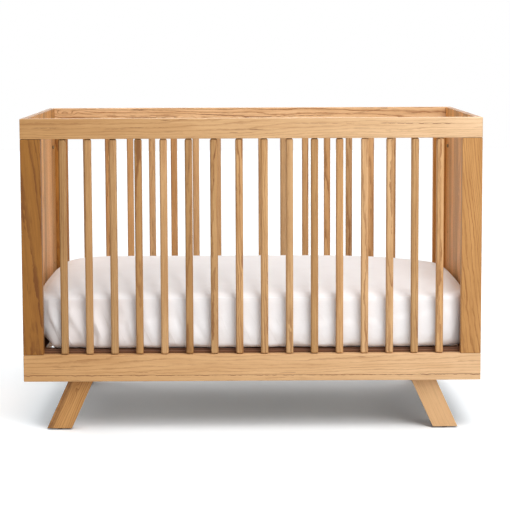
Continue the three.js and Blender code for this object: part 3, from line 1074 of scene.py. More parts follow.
@dataclass
class SlattedSide(SubAssembly):
    """One long side: two rails, two posts and sixteen spindles, joined with mortise and tenon."""

    side: Side = Side.FRONT
    count: int = 16
    ease: float = 0.0018
    lower_strip: float = 0.0182
    spindle_width: float = 0.022
    spindle_depth: float = 0.020
    spindle_ease: float = 0.0060
    spindle_tenon: float = 0.014
    peg_radius: float = 0.006
    post_tenon: Place = (0.036, 0.010, 0.020)
    clearance: float = 0.0003
    spindle_woods: tuple[tuple[float, float], ...] = (
        (0.56, 0.7), (0.68, 0.5), (0.66, 0.3), (0.57, 0.9), (0.80, 0.3), (0.59, 0.4), (0.69, 0.2), (0.75, 0.5),
        (0.76, 0.4), (0.76, 0.4), (0.62, 0.3), (0.86, 0.6), (0.90, 0.0), (0.87, 0.2), (0.68, 0.6), (0.86, 0.3),
    )  # fmt: skip

    def __post_init__(self) -> None:
        """Reads the side's place from the frame."""
        self.name = self.side.label
        self.top_low, self.top_high = self.node_box(f"{self.name}_top_rail")
        self.base_low, self.base_high = self.node_box(f"{self.name}_bottom_rail")
        self.middle_y = (self.top_low.y + self.top_high.y) / 2
        self.face = Vector((0.0, float(self.side.value), 0.0))
        boxes = [self.node_box(f"{self.name}_spindle_{i + 1:02d}") for i in range(self.count)]
        self.spindle_places = [(low.x + high.x) / 2 for low, high in boxes]
        ends = [self.node_box(f"{self.name}_{end.label}_post") for end in End]
        self.post_places = [(low.x + high.x) / 2 for low, high in ends]
        self.post_width = ends[0][1].x - ends[0][0].x

    def build(self) -> None:
        """Builds and dresses the side."""
        self._rail("top", self.top_low, self.top_high, self.top_low.z, 1.0)
        self._rail("bottom", self.base_low, self.base_high, self.base_high.z, -1.0)
        for end, place in zip(End, self.post_places):
            self._post(end, place)
        self._spindles()

    def _rail(self, which: str, low: Vector, high: Vector, mouth: float, into: float) -> None:
        """Builds a rail.

        Args:
            which: "top" or "bottom".
            low: Its lowest corner.
            high: Its highest corner.
            mouth: The height of the face that holds the mortises.
            into: 1 where the mortises go up into the rail, -1 where they go down.
        """
        node = f"{self.name}_{which}_rail"
        rail = self.bench.block(f"{node}_oak", low, high, self.ease)
        depth = self.spindle_tenon + self.clearance
        pegs = [
            self.bench.rod(
                "peg_cutter",
                self.peg_radius + self.clearance,
                (x, self.middle_y, mouth - into * CUT_OVER),
                (x, self.middle_y, mouth + into * depth),
            )
            for x in self.spindle_places
        ]
        wide, thick, deep = (s + self.clearance * (2 if i < 2 else 1) for i, s in enumerate(self.post_tenon))
        for x in self.post_places:
            far, near = mouth + into * deep, mouth - into * CUT_OVER
            low_corner = (x - wide / 2, self.middle_y - thick / 2, min(near, far))
            high_corner = (x + wide / 2, self.middle_y + thick / 2, max(near, far))
            pegs.append(self.bench.block("slot_cutter", low_corner, high_corner))
        joints = (low.z + self.lower_strip,) if which == "bottom" else ()
        self.bench.score(rail, Z_AXIS, joints)
        self.bench.combine(rail, self.bench.gather(pegs))
        self.bench.smooth(rail)
        self.timber.mark(rail, BOARDS[node].facing(X_AXIS, self.face), Z_AXIS, joints)
        self.bench.deliver(rail, self.finishes.oak(node), "oak", "crib_frame", [node])

    def _post(self, end: End, place: float) -> None:
        """Builds a post with its two tenons.

        Args:
            end: The end of the crib at which it stands.
            place: The middle of its width, along X.
        """
        node = f"{self.name}_{end.label}_post"
        thick = (self.top_high.y - self.top_low.y) / 2
        low, high = self.base_high.z + self.clearance, self.top_low.z - self.clearance
        half = self.post_width / 2
        post = self.bench.block(
            f"{node}_oak",
            (place - half, self.middle_y - thick, low),
            (place + half, self.middle_y + thick, high),
            self.ease,
        )
        wide, deep, reach = self.post_tenon
        tenon = self.bench.block(
            "tenon",
            (place - wide / 2, self.middle_y - deep / 2, self.base_high.z - reach),
            (place + wide / 2, self.middle_y + deep / 2, self.top_low.z + reach),
        )
        self.bench.combine(post, tenon, "UNION")
        self.bench.smooth(post)
        self.timber.mark(post, BOARDS[node].facing(Z_AXIS, self.face))
        self.bench.deliver(post, self.finishes.oak(node), "oak", "crib_frame", [node])

    def _spindles(self) -> None:
        """Models one spindle, then copies it to each place and marks each as its own wood."""
        low, high = self.base_high.z + self.clearance, self.top_low.z - self.clearance
        half_x, half_y = self.spindle_width / 2, self.spindle_depth / 2
        model = self.bench.block(
            "spindle_model",
            (-half_x, self.middle_y - half_y, low),
            (half_x, self.middle_y + half_y, high),
            self.spindle_ease,
            4,
        )
        peg = self.bench.rod(
            "tenon",
            self.peg_radius,
            (0.0, self.middle_y, self.base_high.z - self.spindle_tenon),
            (0.0, self.middle_y, self.top_low.z + self.spindle_tenon),
            ease=0.0008,
        )
        self.bench.combine(model, peg, "UNION")
        self.bench.smooth(model)
        for number, x in enumerate(self.spindle_places, start=1):
            node = f"{self.name}_spindle_{number:02d}"
            spindle = self.bench.copied(model, f"{node}_oak", Matrix.Translation((x, 0.0, 0.0)))
            chance = random.Random(zlib.crc32(node.encode()))
            sawn = chance.choice(list(Sawn))
            tone, warmth = chance.uniform(0.73, 0.85), chance.uniform(0.0, 0.6)
            if self.side is Side.FRONT:
                tone, warmth = self.spindle_woods[number - 1]
            cut = Cut(
                Z_AXIS,
                self.face,
                sawn,
                tone,
                warmth,
                chance.uniform(0.4, 1.0),
                chance.uniform(0.55, 1.0),
                chance.uniform(-0.10, 0.10),
            )
            self.timber.mark(spindle, cut)
            self.bench.deliver(spindle, self.finishes.oak(node), "oak", "crib_frame", [node])
        bpy.data.objects.remove(model, do_unlink=True)


@dataclass(frozen=True)
class Board:
    """The look of one named board, before it is known which way it lies."""

    sawn: Sawn = Sawn.RIFT
    tone: float = 1.0
    warmth: float = 0.0
    streak: float = 0.5
    figure: float = 0.5
    drift: float = 0.0
    slope: float = 0.0

    def facing(self, grain: Vector, face: Vector) -> Cut:
        """The board's cut once its grain and show face are known.

        Args:
            grain: The way that the board runs.
            face: The way that its show face looks.

        Returns:
            The cut.
        """
        sloped = Matrix.Rotation(math.radians(self.slope), 3, face) @ grain
        return Cut(sloped, face, self.sawn, self.tone, self.warmth, self.streak, self.figure, self.drift)


BOARDS = {
    # front rails: their drift makes them lighter and less red towards the right end, partly the boards' own
    # tone, partly painted light falling off away from the key at the right
    "front_top_rail": Board(Sawn.RIFT, 0.88, 0.1, 0.8, 0.35, 0.42),
    "front_bottom_rail": Board(Sawn.RIFT, 0.90, 0.4, 0.7, 0.36, 0.28),
    "rear_top_rail": Board(Sawn.FLAT, 1.04, 0.1, 0.9, 1.00),
    "rear_bottom_rail": Board(Sawn.RIFT, 0.95, 0.2, 0.5, 0.50),
    "front_left_post": Board(Sawn.FLAT, 0.41, 2.1, 0.6, 0.75, slope=5.0),
    "front_right_post": Board(Sawn.RIFT, 0.72, 1.3, 0.4, 0.60, slope=5.0),
    "rear_left_post": Board(Sawn.FLAT, 0.52, 2.0, 1.0, 1.00),
    "rear_right_post": Board(Sawn.RIFT, 0.89, 1.9, 0.6, 0.80),
    # end panels: their negative drift makes them darker and redder towards the top, painted shade at the top of
    # their faces
    "left_end_panel": Board(Sawn.FLAT, 0.93, 0.9, 0.9, 1.0, -0.20),
    "right_end_panel": Board(Sawn.FLAT, 1.02, 1.3, 1.0, 1.0, -0.24),
    "front_left_leg": Board(Sawn.RIFT, 0.71, 0.9, 0.4, 0.80),
    "front_right_leg": Board(Sawn.RIFT, 0.96, 0.3, 0.1, 0.10),
    "rear_left_leg": Board(Sawn.RIFT, 0.90, 0.3, 0.4, 0.45),
    "rear_right_leg": Board(Sawn.FLAT, 0.90, 0.3, 0.4, 0.45),
}


@dataclass
class EndPanel(SubAssembly):
    """A solid end, glued from upright staves, with threaded inserts for the support's bolts."""

    end: End = End.LEFT
    staves: int = 13
    ease: float = 0.0016
    hole_radius: float = 0.0045
    hole_depth: float = 0.013
    plug_radius: float = 0.0060
    plug_height: float = 0.0040
    plug_ease: float = 0.0016
    slot_radius: float = 0.0021
    insert_play: float = 0.0002
    insert_sunk: float = 0.0004
    insert_wall: float = 0.0011
    insert_length: float = 0.0118
    levels: int = 4
    level_pitch: float = 0.097
    upper_drop: float = 0.127

    def __post_init__(self) -> None:
        """Reads the panel's place from the frame."""
        self.node = f"{self.end.label}_end_panel"
        self.low, self.high = self.node_box(self.node)
        self.inner = self.high.x if self.end is End.LEFT else self.low.x
        bolts = [self.node_box(f"{side.label}_left_support_bolt") for side in Side]
        self.columns = [(low.y + high.y) / 2 for low, high in bolts]
        lowest = (bolts[0][0].z + bolts[0][1].z) / 2
        self.heights = [lowest + self.level_pitch * level for level in range(self.levels)]
        self.heights.append(self.high.z - self.upper_drop)

    def build(self) -> None:
        """Builds the panel and its inserts."""
        out = float(self.end.value)
        panel = self.bench.block(f"{self.node}_oak", self.low, self.high, self.ease)
        wide = (self.high.y - self.low.y) / self.staves
        joints = [self.low.y + wide * joint for joint in range(1, self.staves)]
        self.bench.score(panel, Y_AXIS, joints)
        cutters = [
            self.bench.rod(
                "hole_cutter",
                self.hole_radius,
                (self.inner - out * CUT_OVER, y, z),
                (self.inner + out * self.hole_depth, y, z),
            )
            for y in self.columns
            for z in self.heights
        ]
        self.bench.combine(panel, self.bench.gather(cutters))
        self.bench.smooth(panel)
        cut = BOARDS[self.node].facing(Z_AXIS, Vector((out, 0.0, 0.0)))
        self.timber.mark(panel, cut, Y_AXIS, joints)
        self.bench.deliver(panel, self.finishes.oak(self.node), "oak_panel", "crib_frame", [self.node])
        self._inserts(out)

    def _inserts(self, out: float) -> None:
        """Sets a sleeve in each hole and a plug over each upper one.

        Args:
            out: 1 where the panel's outside looks along X, -1 where it looks the other way.
        """
        outer = self.hole_radius - self.insert_play
        start = self.inner + out * self.insert_sunk
        finish = self.inner + out * (self.insert_sunk + self.insert_length)
        model = self.bench.rod("insert_model", outer, (start, 0.0, 0.0), (finish, 0.0, 0.0), ease=0.0004)
        bore = self.bench.rod(
            "bore",
            outer - self.insert_wall,
            (start - out * CUT_OVER, 0.0, 0.0),
            (finish + out * CUT_OVER, 0.0, 0.0),
        )
        self.bench.combine(model, bore)
        self.bench.smooth(model)
        for column, y in zip(Side, self.columns):
            for level, z in enumerate(self.heights, start=1):
                name = f"{self.end.label}_{column.label}_insert_{level}"
                insert = self.bench.copied(model, name, Matrix.Translation((0.0, y, z)))
                self.bench.deliver(insert, self.finishes.bronze, "bolt_steel", "crib_frame")
            self._plug(out, column.label, y)
        bpy.data.objects.remove(model, do_unlink=True)

    def _plug(self, out: float, column: str, y: float) -> None:
        """Closes the spare upper hole of a column with a domed screw plug.

        Args:
            out: 1 where the panel's outside looks along X, -1 where it looks the other way.
            column: The column's side, as it is named.
            y: Where the column stands.
        """
        z = self.heights[-1]
        head = self.bench.rod(
            f"{self.end.label}_{column}_screw_plug",
            self.plug_radius,
            (self.inner - out * self.plug_height, y, z),
            (self.inner - out * 0.0001, y, z),
            ease=self.plug_ease,
        )
        slot = self.bench.rod(
            "slot",
            self.slot_radius,
            (self.inner - out * 0.01, y, z),
            (self.inner - out * self.plug_height * 0.45, y, z),
        )
        self.bench.combine(head, slot)
        self.bench.smooth(head)
        self.bench.deliver(head, self.finishes.bronze, "bolt_steel", "crib_frame")


@dataclass
class Leg(SubAssembly):
    """A leaning leg behind its rail, held by two socket bolts, with a glide under its foot."""

    side: Side = Side.FRONT
    end: End = End.LEFT
    width: float = 0.068
    lean: float = 24.5
    ease: float = 0.0016
    bolt_radius: float = 0.0068
    bolt_height: float = 0.0045
    bolt_seats: tuple[tuple[float, float], ...] = ((0.172, -0.014), (0.193, 0.014))
    blank: float = 1.8
    glide_dome: float = 0.0012
    nail_share: float = 0.3
    nail_depth: float = 0.0012

    def __post_init__(self) -> None:
        """Reads the leg's place from the frame."""
        self.name = f"{self.side.label}_{self.end.label}"
        self.low, self.high = self.node_box(f"{self.name}_leg")
        self.along = float(self.end.value)
        self.slope = math.tan(math.radians(self.lean))
        self.level_width = self.width / math.cos(math.radians(self.lean))

    def centre_x(self, z: float) -> float:
        """The middle of the leg's width at a height."""
        outer = self.high.x if self.end is End.RIGHT else self.low.x
        return outer - self.along * (self.level_width / 2 + (z - self.low.z) * self.slope)

    def build(self) -> None:
        """Builds the leg, its bolts and its glide."""
        middle = (self.low + self.high) / 2
        length = (self.high.z - self.low.z) * self.blank
        x = self.centre_x(middle.z)
        leg = self.bench.block(
            f"{self.name}_leg_oak",
            (x - self.width / 2, self.low.y, middle.z - length / 2),
            (x + self.width / 2, self.high.y, middle.z + length / 2),
        )
        turn = Matrix.Rotation(-math.radians(self.lean) * self.along, 4, "Y")
        with self.bench.editing(leg):
            self._turn(turn, Vector((x, middle.y, middle.z)), leg)
            for z, dropped in ((self.low.z, "clear_inner"), (self.high.z, "clear_outer")):
                bpy.ops.mesh.select_all(action="SELECT")
                bpy.ops.mesh.bisect(plane_co=(0.0, 0.0, z), plane_no=Z_AXIS, use_fill=True, **{dropped: True})
            bpy.ops.mesh.select_all(action="SELECT")
            bpy.ops.mesh.bevel(offset=self.ease, segments=3, profile=0.5, affect="EDGES")
        self.bench.smooth(leg)
        node = f"{self.name}_leg"
        grain = Vector((-self.along * self.slope, 0.0, 1.0)).normalized()
        face = Vector((0.0, float(self.side.value), 0.0))
        self.timber.mark(leg, BOARDS[node].facing(grain, face))
        self.bench.deliver(leg, self.finishes.oak(node), "oak", "crib_frame", [node])
        self._bolts()
        self._glide()

    @staticmethod
    def _turn(turn: Matrix, pivot: Vector, leg: Piece) -> None:
        """Turns the whole of the open leg about a pivot.

        Args:
            turn: The turn.
            pivot: The point that stays where it is.
            leg: The leg, which is in edit mode.
        """
        mesh = bmesh.from_edit_mesh(leg.data)
        move = Matrix.Translation(pivot) @ turn @ Matrix.Translation(-pivot)
        bmesh.ops.transform(mesh, matrix=move, verts=mesh.verts)
        bmesh.update_edit_mesh(leg.data)

    def _bolts(self) -> None:
        """Sets two socket bolts in the leg's hidden face, where it overlaps the rail."""
        inward = -float(self.side.value)
        face_y = self.low.y if self.side is Side.REAR else self.high.y
        for number, (z, shift) in enumerate(self.bolt_seats, start=1):
            x = self.centre_x(z) + shift
            head = socket_head(
                self.bench,
                f"{self.name}_leg_bolt_{number}",
                (x, face_y + inward * 0.0001, z),
                Vector((0.0, inward, 0.0)),
                self.bolt_radius,
                self.bolt_height,
            )
            self.bench.deliver(head, self.finishes.zinc, "bolt_steel", "crib_frame")

    def _glide(self) -> None:
        """Builds the glide: a low disc with a domed sole and a sunk nail."""
        node = f"{self.name}_glide"
        low, high = self.node_box(node)
        middle = (low + high) / 2
        radius = (high.x - low.x) / 2
        glide = self.bench.rod(
            f"{node}_nylon", radius, (middle.x, middle.y, low.z), (middle.x, middle.y, high.z), 40
        )
        self.bench.round_edges(glide, self.glide_dome, 4, lambda ends: all(e.z < low.z + TOUCH for e in ends))
        nail = self.bench.rod(
            "nail_hole",
            radius * self.nail_share,
            (middle.x, middle.y, low.z - CUT_OVER),
            (middle.x, middle.y, low.z + self.nail_depth),
            20,
        )
        self.bench.combine(glide, nail)
        self.bench.smooth(glide)
        self.bench.deliver(glide, self.finishes.nylon, "glide_nylon", "crib_frame", [node])


def socket_head(bench: Workbench, name: str, seat: Place, way: Vector, radius: float, height: float) -> Piece:
    """A low round bolt head with a hexagon socket.

    Args:
        bench: The workbench.
        name: The piece's name.
        seat: The middle of its underside.
        way: The way in which it stands out.
        radius: Its radius.
        height: Its height.

    Returns:
        The head.
    """
    base = Vector(seat)
    top = base + way * height
    head = bench.rod(name, radius, base, top, 36)
    bench.round_edges(head, height * 0.6, 4, lambda ends: all((e - top).dot(way) > -TOUCH for e in ends))
    hexagon = bench.rod("hexagon", radius * 0.34, top - way * height * 0.65, top + way * CUT_OVER, 6)
    bench.combine(head, hexagon)
    bench.smooth(head)
    return head


@dataclass
class MattressSupport(SubAssembly):
    """The steel frame of angle, the strap deck riveted to it, and the four bolts that hold it."""

    wall: float = 0.0025
    flange: float = 0.025
    deck_lap: float = 0.018
    bar: float = 0.014
    cells_long: int = 12
    cells_wide: int = 2
    bolt_radius: float = 0.003
    rivet_radius: float = 0.0038
    rivet_height: float = 0.0016
    rivet_dome: float = 0.85
    head_height: float = 0.004
    hole_play: float = 0.0003
    cell_corner: float = 0.010
    frame_ease: float = 0.0016
    deck_ease: float = 0.0007
    through: float = 0.01
    body: str = "mattress_support"

    def __post_init__(self) -> None:
        """Reads the support's place from the frame."""
        self.low, self.high = self.node_box("mattress_support_frame")
        self.deck_low, self.deck_high = self.node_box("mattress_support_deck")

    def build(self) -> None:
        """Builds the frame, the deck, its rivets and the bolts."""
        self._frame()
        self._deck()
        self._rivets()
        for side, end in CORNERS:
            self._bolt(side, end)

    def _frame(self) -> None:
        """Builds the frame of angle: its walls stand outside and its flange lies on top."""
        low, high = self.low, self.high
        steel = self.bench.block("mattress_support_frame_steel", low, high, self.frame_ease, 3)
        for name, inset, top in (
            ("under", self.wall, high.z - self.wall),
            ("through", self.flange, high.z + self.through),
        ):
            hollow = self.bench.block(
                name, (low.x + inset, low.y + inset, low.z - self.through), (high.x - inset, high.y - inset, top)
            )
            self.bench.combine(steel, hollow)
        holes = []
        for side, end in CORNERS:
            bolt_low, bolt_high = self.node_box(f"{side.label}_{end.label}_support_bolt")
            place = (bolt_low + bolt_high) / 2
            edge = high.x if end is End.RIGHT else low.x
            span = (edge - end.value * 0.006, edge + end.value * 0.002)
            start, finish = ((x, place.y, place.z) for x in span)
            holes.append(self.bench.rod("bolt_hole", self.bolt_radius + self.hole_play, start, finish))
        self.bench.combine(steel, self.bench.gather(holes))
        self.bench.smooth(steel, 30.0)
        node = "mattress_support_frame"
        self.bench.deliver(steel, self.finishes.coat, "dark_steel", self.body, [node])

    def _deck(self) -> None:
        """Builds the deck: a rim and straps cut from sheet, with eased edges."""
        low, high = self.deck_low, self.deck_high
        rim = self.deck_lap + self.bar
        deck = self.bench.block("mattress_support_deck_straps", low, high, self.deck_ease, 2)
        cell_x = (high.x - low.x - 2 * rim - (self.cells_long - 1) * self.bar) / self.cells_long
        cell_y = (high.y - low.y - 2 * rim - (self.cells_wide - 1) * self.bar) / self.cells_wide
        cells = []
        for column, row in itertools.product(range(self.cells_long), range(self.cells_wide)):
            x = low.x + rim + column * (cell_x + self.bar)
            y = low.y + rim + row * (cell_y + self.bar)
            cell = self.bench.block(
                "cell", (x, y, low.z - self.through), (x + cell_x, y + cell_y, high.z + self.through)
            )
            self.bench.round_edges(cell, self.cell_corner, 5, lambda ends: abs(ends[0].z - ends[1].z) > 0.01)
            cells.append(cell)
        self.bench.combine(deck, self.bench.gather(cells))
        self.bench.smooth(deck, 30.0)
        self.bench.deliver(deck, self.finishes.coat, "dark_steel", self.body, ["mattress_support_deck"])

    def _rivets(self) -> None:
        """Puts a rivet head under the flange at the end of each strap."""
        rim = self.deck_lap + self.bar
        low, high = self.deck_low, self.deck_high
        pitch = (high.x - low.x - 2 * rim + self.bar) / self.cells_long
        under = self.high.z - self.wall
        heads = []
        for number in range(1, self.cells_long):
            x = low.x + rim + number * pitch - self.bar / 2
            for y in (low.y + self.deck_lap / 2, high.y - self.deck_lap / 2):
                heads.append(self._rivet((x, y, under)))
        for x in (low.x + self.deck_lap / 2, high.x - self.deck_lap / 2):
            heads.append(self._rivet((x, 0.0, under)))
        rivets = self.bench.gather(heads)
        rivets.name = "mattress_support_rivets"
        self.bench.smooth(rivets, 60.0)
        self.bench.deliver(rivets, self.finishes.coat, "dark_steel", self.body)

    def _rivet(self, seat: Place) -> Piece:
        """One domed head that hangs from its seat.

        Args:
            seat: The middle of its upper face.

        Returns:
            The head.
        """
        foot = (seat[0], seat[1], seat[2] - self.rivet_height)
        rivet = self.bench.rod("rivet", self.rivet_radius, foot, (seat[0], seat[1], seat[2] - 0.00005), 16)
        dome = self.rivet_height * self.rivet_dome
        self.bench.round_edges(rivet, dome, 3, lambda ends: all(e.z < foot[2] + TOUCH for e in ends))
        return rivet

    def _bolt(self, side: Side, end: End) -> None:
        """Builds one bolt: its head inside the frame, its shank through into the insert.

        Args:
            side: The long side near which it stands.
            end: The end that it goes into.
        """
        node = f"{side.label}_{end.label}_support_bolt"
        low, high = self.node_box(node)
        middle = (low + high) / 2
        way = Vector((-float(end.value), 0.0, 0.0))
        tip = high.x if end is End.RIGHT else low.x
        inner = low.x if end is End.RIGHT else high.x
        seat = inner - way.x * self.head_height
        head = socket_head(
            self.bench,
            f"{node}_steel",
            (seat, middle.y, middle.z),
            way,
            (high.z - low.z) / 2,
            self.head_height,
        )
        shank = self.bench.rod(
            "shank",
            self.bolt_radius,
            (tip, middle.y, middle.z),
            (seat + way.x * CUT_OVER, middle.y, middle.z),
            24,
            0.0006,
        )
        self.bench.combine(head, shank, "UNION")
        self.bench.smooth(head)
        self.bench.deliver(head, self.finishes.zinc, "bolt_steel", self.body, [node])


# ---- Mattress and sheet ------------------------------------------------------------------------
@dataclass
class Bedding(SubAssembly):
    """The mattress and the fitted sheet drawn over it."""

    corner: float = 0.080
    top_radius: float = 0.013
    bottom_radius: float = 0.016
    crown: float = 0.056
    left_fullness: float = 15.0
    tuck: float = 0.009
    hem: float = 0.090
    mattress_grid: float = 0.012
    sheet_grid: float = 0.0089
    ease_in: float = 0.0026
    hem_grip: float = 0.010
    pressure: float = 2.0
    slack: float = 0.012
    cap: float = 0.003
    frames: int = 14
    clearance: float = 0.0010
    area_share: float = 0.88
    crown_share: float = 0.98
    crown_from: float = 0.55
    crown_over: float = 0.45
    low_part: float = 0.62
    belly: float = 0.0022
    hem_left: float = 0.034
    hem_right: float = 0.028
    hem_lump: float = 0.014
    hem_edge: float = 0.018
    upright: float = 0.15
    fold_pitch: float = 0.054
    fold_height: float = 0.0110
    fold_most: float = 0.0105
    fold_slant: float = 0.052
    fold_sway: float = 0.022
    fold_steep: float = 0.16
    fold_gentle: float = 0.62
    wrinkle: float = 0.0010
    pucker: float = 0.0075
    droop: float = 0.006
    body: str = "mattress"

    def __post_init__(self) -> None:
        """Reads the mattress's and sheet's place from the frame."""
        self.low, self.high = self.node_box("mattress")
        self.sheet_low, self.sheet_high = self.node_box("fitted_sheet")
        self.half_x = (self.sheet_high.x - self.sheet_low.x) / 2
        self.half_y = (self.sheet_high.y - self.sheet_low.y) / 2

    def build(self) -> None:
        """Builds the mattress and the sheet."""
        mattress = self._pad("mattress_ticking", self.low, self.high, self.ease_in, self.mattress_grid)
        self._settle_down(mattress, self.low.z)
        self.bench.hold(mattress)
        bpy.ops.object.shade_smooth()
        self.bench.deliver(mattress, self.finishes.ticking, "ticking", self.body, ["mattress"])
        sheet = self._pad("fitted_sheet_cotton", self.sheet_low, self.sheet_high, 0.0004, self.sheet_grid)
        self._open(sheet)
        self._fold(sheet)
        self._drape(sheet)
        self.bench.hold(sheet)
        step = sheet.modifiers.new("rounding", "SUBSURF")
        step.levels = step.render_levels = 1
        bpy.ops.object.modifier_apply(modifier=step.name)
        bpy.ops.object.shade_smooth()
        self.bench.deliver(sheet, self.finishes.cotton, "cotton", self.body, ["fitted_sheet"])
        drop = self.high.z - self.low.z + self.hem
        length, width = self.high.x - self.low.x + 2 * drop, self.high.y - self.low.y + 2 * drop
        area = length * width * self.area_share

    def _pad(self, name: str, low: Vector, high: Vector, inset: float, grid: float) -> Piece:
        """A pad with rounded corners and edges in an even grid of faces.

        Args:
            name: The piece's name.
            low: The lowest corner of its space.
            high: The highest corner, with the crown.
            inset: How far its surface stays inside that space.
            grid: The size of its faces.

        Returns:
            The pad, with its crown.
        """
        gap = Vector((inset, inset, 0.0))
        top = high.z - self.crown - inset
        pad = self.bench.block(name, low + gap, Vector((high.x - inset, high.y - inset, top)))
        bottom = low.z
        for radius, steps, wanted in (
            (self.corner, 14, lambda ends: abs(ends[0].z - ends[1].z) > 0.05),
            (self.top_radius, 8, lambda ends: all(e.z > top - TOUCH for e in ends)),
            (self.bottom_radius, 5, lambda ends: all(e.z < bottom + TOUCH for e in ends)),
        ):
            self.bench.round_edges(pad, radius, steps, wanted)
        pad.data.remesh_voxel_size = grid
        pad.data.remesh_voxel_adaptivity = 0.0
        self.bench.hold(pad)
        bpy.ops.object.voxel_remesh()
        self._shape(pad, low, high, top)
        return pad

    def _shape(self, pad: Piece, low: Vector, high: Vector, top: float) -> None:
        """Crowns a pad's top, bellies its sides and draws its lower corners in.

        Args:
            pad: The pad.
            low: The lowest corner of its space.
            high: The highest corner of its space.
            top: The height of its flat top.
        """
        half_x, half_y = (high.x - low.x) / 2, (high.y - low.y) / 2
        for vertex in pad.data.vertices:
            x, y, z = vertex.co
            rise = unit((z - low.z) / (top - low.z))
            reach = max(abs(x) / half_x, abs(y) / half_y)
            out = abs(x / half_x)
            ends = out**self.left_fullness if x < 0.0 else 0.6 * out**3.6 + 0.4 * out**30
            share = min(ends + abs(y / half_y) ** 4, 1.0)
            crowned = max(rise - self.crown_from, 0.0)
            vertex.co.z = z + self.crown * self.crown_share * (1.0 - share) * crowned / self.crown_over
            in_x = max(abs(x) - (half_x - self.corner), 0.0) / self.corner
            in_y = max(abs(y) - (half_y - self.corner), 0.0) / self.corner
            cornered = min(min(in_x, in_y) * 2.0, 1.0)
            lowness = max(1.0 - rise / self.low_part, 0.0)
            pull = self.tuck * cornered * lowness * lowness
            swell = self.belly * math.sin(math.pi * rise) * (reach > 0.9) * (1.0 - cornered)
            if in_x > 0.0:
                vertex.co.x += math.copysign(1.0, x) * (swell * in_x - pull * 0.7)
            if in_y > 0.0:
                vertex.co.y += math.copysign(1.0, y) * (swell * in_y - pull * 0.7)
            vertex.co.z += self._raised(x, y, half_x, half_y) * lowness

    def _raised(self, x: float, y: float, half_x: float, half_y: float) -> float:
        """The rise of the lower edge: cut away at the front left, lifting at the front right.

        Args:
            x: Where the point lies along the crib.
            y: Where it lies across the crib.
            half_x: Half the pad's length.
            half_y: Half its width.

        Returns:
            How far the point is drawn up.
        """
        front = unit((abs(y) - half_y + self.hem_edge) / self.hem_edge)
        inner = half_x - 0.058 + 0.12 * (y + 0.35)
        left = unit((-x - inner) / 0.024) * unit((0.05 - y) / 0.10)
        right = unit((x - 0.44) / 0.21)
        lump = max(noise.noise(Vector((x * 12.0, 0.5, 9.0 if y < 0.0 else 4.0))), 0.0)
        return max(self.hem_left * left, self.hem_right * right**1.5 * front, self.hem_lump * lump * front)

    def _settle_down(self, pad: Piece, floor: float) -> None:
        """Sets a pad's underside on its level.

        Args:
            pad: The pad.
            floor: The height of that level.
        """
        lowest = min(v.co.z for v in pad.data.vertices)
        pad.data.transform(Matrix.Translation((0.0, 0.0, floor - lowest)))

    def _open(self, sheet: Piece) -> None:
        """Cuts the underside away inside the hem."""
        half_x, half_y = self.half_x - self.hem, self.half_y - self.hem
        limit = self.sheet_low.z + 0.010
        radius = self.corner

        def inside(corners: list[Vector]) -> bool:
            """Whether a face lies in the opening under the mattress.

            Args:
                corners: The face's corners.

            Returns:
                True where it does.
            """
            middle = sum(corners, Vector()) / len(corners)
            if middle.z > limit:
                return False
            dx = max(abs(middle.x) - (half_x - radius), 0.0)
            dy = max(abs(middle.y) - (half_y - radius), 0.0)
            return abs(middle.x) < half_x and abs(middle.y) < half_y and math.hypot(dx, dy) < radius

        with self.bench.editing(sheet, "DESELECT", "FACE"):
            self.bench.pick(sheet, "faces", inside)
            bpy.ops.mesh.delete(type="FACE")

    def _around(self, x: float, y: float) -> float:
        """Measures round the pad from the middle of its front, to the right.

        Args:
            x: Where the point lies along the crib.
            y: Where it lies across the crib.

        Returns:
            How far round the point lies.
        """
        half_x, half_y = self.half_x, self.half_y
        if half_y - abs(y) < half_x - abs(x):
            return x if y < 0 else 2 * (half_x + half_y) - x
        return half_x + half_y + y if x > 0 else -(half_x + half_y + y)

    def _fold(self, sheet: Piece) -> None:
        """Lays slanting folds in the sheet's sides, most at the front left, and a puckered hem."""
        bottom, top = self.sheet_low.z, self.sheet_high.z - self.crown
        moves = []
        for vertex in sheet.data.vertices:
            point, normal = vertex.co.copy(), vertex.normal.copy()
            sideways = math.hypot(normal.x, normal.y)
            if sideways < self.upright:
                continue
            rise = unit((point.z - bottom) / (top - bottom))
            u = self._around(point.x, point.y)
            near = self._slackness(point)
            sway = noise.noise(Vector((u * 6.0, rise * 1.6, 4.0))) * self.fold_sway
            slant = u + (rise - 0.5) * self.fold_slant * self._lean(point) + sway
            phase = slant / self.fold_pitch
            part = phase - math.floor(phase)
            fall = max(1.0 - max(part - self.fold_steep, 0.0) / self.fold_gentle, 0.0)
            sharp = min(part / self.fold_steep, 1.0) * fall**1.3
            strength = 0.30 + 1.4 * abs(noise.noise(Vector((math.floor(phase) * 3.7, 0.3, 11.0))))
            band = math.sin(math.pi * min(0.08 + rise * 1.02, 1.0)) ** 0.8
            fine = noise.noise(Vector((u * 30.0, rise * 3.0, 2.0))) * self.wrinkle * (1.2 - rise)
            low = max(1.0 - rise / 0.20, 0.0)
            pucker = noise.noise(Vector((u * 32.0, rise * 1.5, 7.0))) * self.pucker * low
            droop = max(noise.noise(Vector((u * 11.0, 0.5, 3.0))), 0.0) * max(1.0 - rise / 0.30, 0.0)
            out = self.fold_height * near * strength * sharp * band
            out = out + abs(fine) + abs(pucker) * 0.4 + droop * self.droop
            level = Vector((normal.x, normal.y, 0.0)).normalized()
            move = level * min(out, self.fold_most) * min(sideways * 1.4, 1.0)
            move.z = abs(pucker) * 1.1
            moves.append((vertex, point + move))
        for vertex, place in moves:
            vertex.co = place
        self._keep_clear(sheet)

